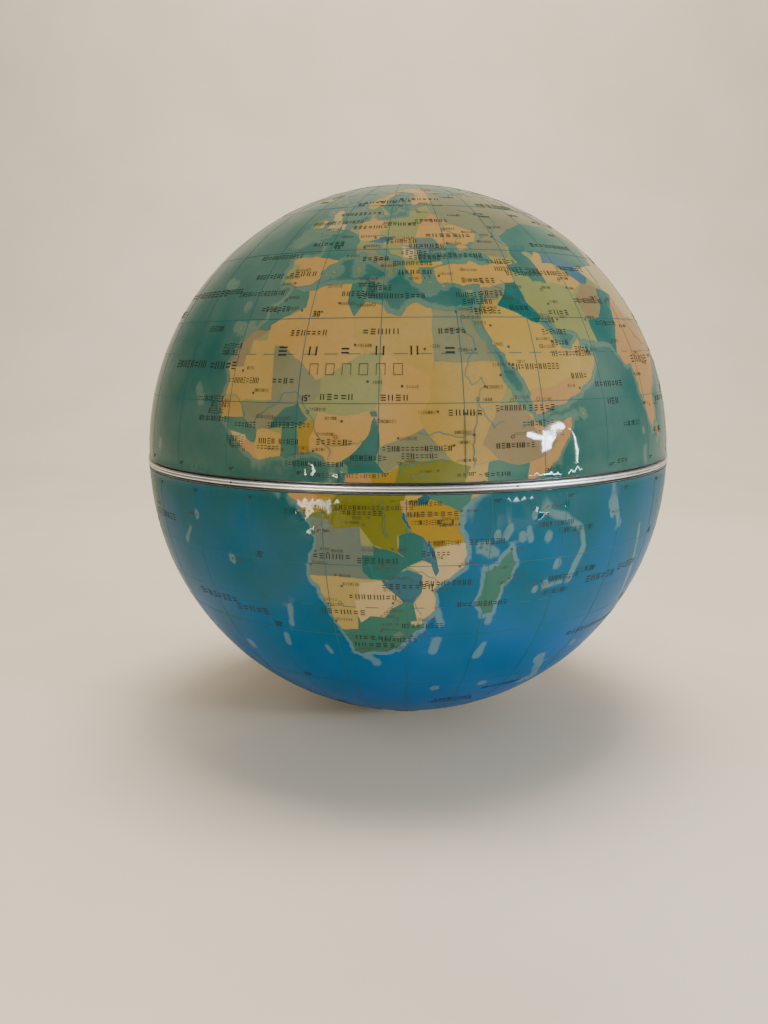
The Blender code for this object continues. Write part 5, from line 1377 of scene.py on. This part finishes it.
# ---- inks --------------------------------------------------------------------------------------
class Ink:
    """Gathers thin closed strips and marks of one ink for one half."""

    def __init__(self, side, high=INK_LIFT):
        self.side, self.high = side, high
        self.verts, self.faces = [], []

    def block(self, corners):
        """A thin closed plate over flat-disc corners, in order round it."""
        if max(math.hypot(*c) for c in corners) > 89.3:
            return
        area = sum(a[0] * b[1] - b[0] * a[1] for a, b in zip(corners, corners[1:] + corners[:1]))
        if area * self.side < 0:
            corners = corners[::-1]
        first, n = len(self.verts), len(corners)
        self.verts += [on_ball(*c, self.side, self.high) for c in corners]
        self.verts += [on_ball(*c, self.side, -INK_LIFT) for c in corners]
        self.faces.append(tuple(first + k for k in range(n)))
        self.faces.append(tuple(first + n + k for k in reversed(range(n))))
        for k in range(n):
            m = (k + 1) % n
            self.faces.append((first + k, first + n + k, first + n + m, first + m))

    def strip(self, path, wide, closed=False):
        """A thin closed strip along a flat-disc path, wide in metres."""
        half = math.degrees(wide / 2 / GLOBE_R)
        count = len(path)
        rows = []
        for i, p in enumerate(path):
            before = path[i - 1] if closed or i else p
            after = path[(i + 1) % count] if closed or i < count - 1 else p
            r = max(math.hypot(*p), 1e-6)
            out = (p[0] / r, p[1] / r)
            round_scale = max(math.sin(math.radians(r)) / math.radians(r), 0.05)
            dx, dy = after[0] - before[0], after[1] - before[1]
            radial = dx * out[0] + dy * out[1]
            turn = (dy * out[0] - dx * out[1]) * round_scale
            size = max(math.hypot(radial, turn), 1e-9)
            side_r, side_t = -turn / size * half, radial / size * half / round_scale
            push = (side_r * out[0] - side_t * out[1], side_r * out[1] + side_t * out[0])
            first = len(self.verts)
            for sign, lift in ((1, self.high), (-1, self.high), (-1, -INK_LIFT), (1, -INK_LIFT)):
                self.verts.append(on_ball(p[0] + sign * push[0], p[1] + sign * push[1], self.side, lift))
            rows.append(first)
        pairs = list(zip(rows, rows[1:])) + ([(rows[-1], rows[0])] if closed else [])
        for a, b in pairs:
            for k in range(4):
                m = (k + 1) % 4
                quad = (a + k, a + m, b + m, b + k)
                self.faces.append(quad if self.side < 0 else quad[::-1])
        if not closed:
            ends = [(rows[0], rows[0] + 3, rows[0] + 2, rows[0] + 1), tuple(rows[-1] + k for k in range(4))]
            self.faces += ends if self.side < 0 else [e[::-1] for e in ends]

    def finish(self, name, material):
        body, slot = ("lid", "northern_print") if self.side > 0 else ("bowl", "southern_print")
        return add_mesh(name, self.verts, self.faces, material, body)


def runs_on(path, side, closed=False):
    """The stretches of a (longitude, latitude) path that lie on this half, as flat-disc paths."""
    spots = list(path) + ([path[0]] if closed else [])
    out, run = [], []
    for lon, lat in spots:
        if real_latitude(lat, side) > 0.55:
            run.append(flat(lon, lat, side))
        else:
            if len(run) > 1:
                out.append(run)
            run = []
    if len(run) > 1:
        out.append(run)
    return out


def at(lon, lat, east, north, side):
    """The flat-disc point some true degrees east and north of a place."""
    return flat(lon + east / math.cos(math.radians(lat)), lat + north, side)


def mark(ink, lon, lat, low_x, low_y, high_x, high_y):
    corners = ((low_x, low_y), (high_x, low_y), (high_x, high_y), (low_x, high_y))
    ink.block([at(lon, lat, x, y, ink.side) for x, y in corners])


def name_row(ink, dice, lon, lat, count, pitch, height):
    """A stand-in for a printed name: a row of plain upright or level bars, no lettering."""
    start = -pitch * count / 2
    stem = 0.17 * min(pitch, height)
    for k in range(count):
        x = start + k * pitch
        wide = pitch * dice.uniform(0.52, 0.70)
        half = height / 2
        kind = dice.randrange(3)
        if kind == 0:
            mark(ink, lon, lat, x, -half, x + stem, half)
            mark(ink, lon, lat, x + wide - stem, -half, x + wide, half)
        elif kind == 1:
            for level in (-half, -stem / 2, half - stem):
                mark(ink, lon, lat, x, level, x + wide, level + stem)
        else:
            for level in (-0.62 * half, 0.62 * half - stem):
                mark(ink, lon, lat, x, level, x + wide, level + stem)


def frame_row(ink, lon, lat, count, pitch, height):
    """Wide names set as open boxes."""
    start, edge = -pitch * count / 2, 0.11
    wide = min(0.55 * pitch, 0.8 * height)
    for k in range(count):
        x = start + k * pitch
        mark(ink, lon, lat, x, -height / 2, x + edge, height / 2)
        mark(ink, lon, lat, x + wide - edge, -height / 2, x + wide, height / 2)
        mark(ink, lon, lat, x + edge, height / 2 - edge, x + wide - edge, height / 2)
        if k % 2:
            mark(ink, lon, lat, x + edge, -height / 2, x + wide - edge, edge - height / 2)


SEGMENTS = {"0": "abcdef", "1": "bc", "2": "abged", "3": "abgcd", "4": "fgbc", "5": "afgcd", "6": "afgedc",
            "7": "abc", "8": "abcdefg", "9": "abfgcd"}


def number(ink, lon, lat, value, height=1.05):
    """Degrees printed on the grid, in plain strokes."""
    wide, stem, start = 0.5 * height, 0.15 * height, 0.0
    for digit in str(value):
        low, middle, top = 0.0, height / 2 - stem / 2, height - stem
        bars = {
            "a": (0, top, wide, height), "g": (0, middle, wide, middle + stem), "d": (0, low, wide, stem),
            "f": (0, height / 2, stem, height), "e": (0, 0, stem, height / 2),
            "b": (wide - stem, height / 2, wide, height), "c": (wide - stem, 0, wide, height / 2),
        }
        for bar in SEGMENTS[digit]:
            x0, y0, x1, y1 = bars[bar]
            mark(ink, lon, lat, start + x0, y0, start + x1, y1)
        start += wide + 0.22 * height
    ring(ink, lon, lat, start + 0.12 * height, 0.85 * height, 0.13 * height)


def ring(ink, lon, lat, east, north, radius):
    turns = [math.tau * k / 14 for k in range(14)]
    path = [at(lon, lat, east + radius * math.cos(t), north + radius * math.sin(t), ink.side) for t in turns]
    if max(math.hypot(*p) for p in path) < 89.2:
        ink.strip(path, TOWN_RING_WIDE, True)


def disc(ink, lon, lat, radius, corners=12):
    turns = [math.tau * k / corners for k in range(corners)]
    ink.block([at(lon, lat, radius * math.cos(t), radius * math.sin(t), ink.side) for t in turns])


for side, half in ((1, "north"), (-1, "south")):
    dice = random.Random(half)
    grid = Ink(side)
    for k in range(24):
        stop = 84 if k % 6 else 89
        meridian = [(15 * k, side * lat) for lat in np.arange(0.9, stop, 1.3)]
        for run in runs_on(meridian, side):
            grid.strip(run, GRID_WIDE)
    for lat in (15, 30, 45, 60, 75):
        count = int(300 * math.cos(math.radians(lat))) + 30
        circle = [flat(360 * k / count, side * lat, side) for k in range(count)]
        grid.strip(circle, GRID_WIDE, True)
    for lat in (23.44, 66.56):
        dashes = int(90 * math.cos(math.radians(lat)))
        for k in range(dashes):
            lon = 360 * k / dashes
            dash = [flat(lon + 2.4 * s / math.cos(math.radians(lat)) / 2, side * lat, side) for s in range(3)]
            grid.strip(dash, GRID_WIDE)
    grid.finish(half + "_grid_lines", grid_ink)

    edge = Ink(side, INK_LIFT * 1.2)
    for loop in coasts + shores:
        if touches(loop, side):
            for run in runs_on(loop, side, True):
                edge.strip(run, COAST_WIDE)
    edge.finish(half + "_coast_lines", coast_ink)

    water = Ink(side, INK_LIFT * 1.1)
    for line in RIVERS:
        for run in runs_on(rough_line(line, 0.09, 0.8), side):
            water.strip(run, RIVER_WIDE)
    water.finish(half + "_river_lines", river_ink)

    names = Ink(side, INK_LIFT * 1.5)
    for lon, lat, count, pitch in NAMES:
        if side * lat > 0:
            tall = 1.0 if pitch < 1.5 else 1.35
            if pitch < 3:
                name_row(names, dice, lon, lat, count, pitch, tall)
                continue
            for k in range(count):
                name_row(names, dice, lon + (k + 0.5 - count / 2) * pitch, lat, 1, 2.4, 1.6)
    for lat in (15, 30, 45, 60):
        for lon in (0, 90, 180, 270):
            number(names, lon + 0.5 / math.cos(math.radians(lat)), side * lat + 0.35, lat)
    for k in range(24):
        number(names, 15 * k + 0.4, 1.5 if side > 0 else -2.4, min(15 * k, 360 - 15 * k), 0.8)
    names.finish(half + "_name_marks", name_ink)

    towns = Ink(side, INK_LIFT * 1.4)
    for lon, lat, count, pitch, height in WIDE_NAMES:
        if side * lat > 0:
            frame_row(towns, lon, lat, count, pitch, height)
    for lon, lat, capital in TOWNS:
        if side * lat > 0.6:
            if capital:
                ring(towns, lon, lat, 0, 0, 0.3)
            else:
                disc(towns, lon, lat, 0.24)
            reach = 1.9 if dice.random() < 0.7 else -1.9
            name_row(towns, dice, lon + reach, lat + dice.choice((-0.1, 0.5)), dice.randint(4, 7), 0.44, 0.56)
    towns.finish(half + "_town_marks", town_ink)


# ---- ring, collar and slip ring ----------------------------------------------------------------
def bead_ring():
    """Bright ring with two round beads and a fine groove between them."""
    bead = RING_HALF / 2
    inner = RING_R - 0.0021
    outline = [(inner, RING_Z + RING_HALF)]
    for middle in (RING_Z + bead, RING_Z - bead):
        for k in range(13):
            turn = math.radians(90 - 15 * k)
            across = RING_R - bead + bead * math.cos(turn)
            outline.append((across, middle + 0.97 * bead * math.sin(turn)))
    outline.append((inner, RING_Z - RING_HALF))
    return outline


turned("double_bead_ring", bead_ring(), 360, plating, "bowl", ["equator_ring"], 50)

ring_top = RING_Z + RING_HALF
flange_top = RING_Z - RING_HALF - 0.00025
collar_bore = 0.1036
spigot = 0.1054
ledge = 0.1083
skirt_top = GLOBE_R - WALL - 0.0003
skirt_low = math.sqrt((GLOBE_R - WALL) ** 2 - (LOWER_Z - collar_low[2]) ** 2) - 0.0005
turned("lid_seat_collar", [
    (collar_bore, collar_high[2] - 0.0004), (collar_bore + 0.0004, collar_high[2]),
    (spigot - 0.0010, collar_high[2]),
    (spigot - 0.0003, collar_high[2] - 0.0003), (spigot, collar_high[2] - 0.0010), (spigot, ring_top),
    (ledge, ring_top), (ledge, flange_top),
    (collar_high[0], flange_top), (collar_high[0], flange_top - 0.00035),
    (skirt_top, flange_top - 0.00035), (skirt_low, collar_low[2]), (collar_bore, collar_low[2]),
], 240, black, "bowl", ["seat_collar"], 30)
turned("slip_ring_band", [
    (spigot + 0.0004, slip_low[2]), (slip_high[0], slip_low[2]), (slip_high[0], slip_high[2]),
    (spigot + 0.0004, slip_high[2]),
], 240, black, "lid_slide", ["slip_ring"], 30)
turned("lid_inner_band", [
    (spigot + 0.0004, band_low[2]), (band_high[0], band_low[2]),
    (math.sqrt((GLOBE_R - WALL) ** 2 - (band_high[2] - UPPER_Z) ** 2) - 0.0005, band_high[2]),
    (spigot + 0.0008, band_high[2]), (spigot + 0.0004, band_high[2] - 0.0004),
], 240, black, "lid", ["lid_rim_band"], 30)

# ---- hardware keeps the CAD's own shapes -------------------------------------------------------
NODE_FINISH = {
    "foot_disc": black, "foot_pad": rubber, "thrust_washer": nylon, "pole_bush": nylon,
    "ballast_ring": iron, "floor_disc": black,
}
ZINC_NODES = ["swivel_spindle", "top_washer", "spring_washer", "lock_nut", "pole_plate"]
ZINC_NODES += [f"plate_rivet_{k}" for k in (1, 2, 3)]
ZINC_NODES += [f"floor_screw_{k}" for k in (1, 2, 3)]
NODE_FINISH.update({node: zinc for node in ZINC_NODES})
for node, finish in NODE_FINISH.items():
    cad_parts[node].data.materials.clear()
    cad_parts[node].data.materials.append(finish)

# ---- floor, light and camera -------------------------------------------------------------------
def stage_sweep():
    """Pale floor that curves up into a pale wall on the far side."""
    bend = 0.6
    outline = [(-1.8, 0.0), (bend, 0.0)]
    for degrees in range(5, 91, 5):
        turn = math.radians(degrees)
        outline.append((bend + 0.6 * math.sin(turn), bend - 0.6 * math.cos(turn)))
    outline += [(1.2, 2.4)]
    verts = [(x, y, z) for y, z in outline for x in (-2.4, 2.4)]
    faces = [(2 * k, 2 * k + 1, 2 * k + 3, 2 * k + 2) for k in range(len(outline) - 1)]
    mesh = bpy.data.meshes.new("pale_floor")
    mesh.from_pydata(verts, [], faces)
    mesh.shade_smooth()
    floor = bpy.data.objects.new("pale_floor", mesh)
    bpy.context.scene.collection.objects.link(floor)
    paint = plain_material("pale_paint", srgb(214, 199, 176), srgb(209, 194, 171), 0.6, 9, 0.0, 0.05)
    mesh.materials.append(paint)
    floor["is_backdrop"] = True


def soft_light(name, power, size, place, aim, colour, height=None, shiny=True, lean=0.0):
    light = bpy.data.lights.new(name, "AREA")
    light.energy = power
    light.color = colour
    light.shape = "RECTANGLE"
    light.size = size
    light.size_y = height or size
    lamp = bpy.data.objects.new(name, light)
    lamp.visible_glossy = shiny
    bpy.context.scene.collection.objects.link(lamp)
    lamp.location = place
    facing = (Vector(aim) - Vector(place)).to_track_quat("-Z", "Y")
    lamp.rotation_euler = (facing @ Quaternion((0, 0, 1), math.radians(lean))).to_euler()


def toward(azimuth, elevation, distance):
    """A point that far from the ball's middle, azimuth counted from the camera's side towards its right."""
    a, e = math.radians(azimuth), math.radians(elevation)
    flat_part = distance * math.cos(e)
    return (flat_part * math.sin(a), -flat_part * math.cos(a), MID_Z + distance * math.sin(e))


stage_sweep()
centre = (0, 0, MID_Z)
soft_light("overhead", 21.0, 0.6, (0.06, 0.08, 1.45), centre, (1.0, 0.96, 0.90), shiny=False)
soft_light("wall_wash", 21.0, 1.0, (0.0, 0.25, 1.3), (0, 1.2, 0.62), (1.0, 0.95, 0.88), shiny=False)
soft_light("front_fill", 2.4, 1.0, toward(10, 24, 1.1), centre, (0.84, 0.93, 1.0), shiny=False)
soft_light("left_fill", 2.0, 0.8, toward(-62, 28, 0.95), centre, (1.0, 0.95, 0.88), shiny=False)
soft_light("window", 2.9, 0.050, toward(55.2, 5.6, 0.8), centre, (0.80, 0.88, 1.0), 0.100, lean=-6)
soft_light("window_left", 1.3, 0.100, toward(50.4, 7.4, 0.8), centre, (0.80, 0.88, 1.0), 0.022, lean=-14)
soft_light("window_right", 1.4, 0.028, toward(58.8, 8.4, 0.8), centre, (0.80, 0.88, 1.0), 0.110, lean=-38)
soft_light("window_side", 1.2, 0.011, toward(68.0, 2.8, 0.8), centre, (0.80, 0.96, 0.92), 0.22, lean=14)
soft_light("low_glow", 0.9, 0.11, toward(-31, -8.5, 0.45), centre, (1.0, 0.93, 0.74), 0.046)
soft_light("low_glow_right", 0.4, 0.09, toward(42, -8.0, 0.45), centre, (0.92, 0.97, 1.0), 0.022)

world = bpy.data.worlds.new("room")
bpy.context.scene.world = world
world.use_nodes = True
room = world.node_tree.nodes["Background"]
room.inputs["Color"].default_value = (0.15, 0.22, 0.30, 1)
room.inputs["Strength"].default_value = 0.5

camera_data = bpy.data.cameras.new("camera")
camera_data.lens = 950 / 1024 * 36
camera_data.sensor_width = 36
camera_data.clip_start = 0.01
camera = bpy.data.objects.new("camera", camera_data)
bpy.context.scene.collection.objects.link(camera)
bpy.context.scene.camera = camera
DISTANCE, RISE = 0.4206, math.radians(6.337)
PITCH, YAW, ROLL = math.radians(9.949), math.radians(-1.379), math.radians(-0.417)
camera.location = (0, -DISTANCE * math.cos(RISE), RING_Z + DISTANCE * math.sin(RISE))
look = Vector((math.sin(YAW) * math.cos(PITCH), math.cos(YAW) * math.cos(PITCH), -math.sin(PITCH)))
right = look.cross(Vector((0, 0, 1))).normalized()
rise = right.cross(look)
turned_right = right * math.cos(ROLL) + rise * math.sin(ROLL)
turned_up = turned_right.cross(look)
axes = camera.matrix_world.to_3x3()
for row in range(3):
    axes[row] = (turned_right[row], turned_up[row], -look[row])
camera.rotation_euler = axes.to_euler()

final_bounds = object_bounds()


def numbers(value):
    """Bounds as plain nested lists of numbers."""
    if isinstance(value, dict):
        return {key: numbers(item) for key, item in value.items()}
    if hasattr(value, "__len__") and not isinstance(value, str):
        return [numbers(item) for item in value]
    return float(value)


{"cad": numbers(cad_bounds), "scene": numbers(final_bounds)}
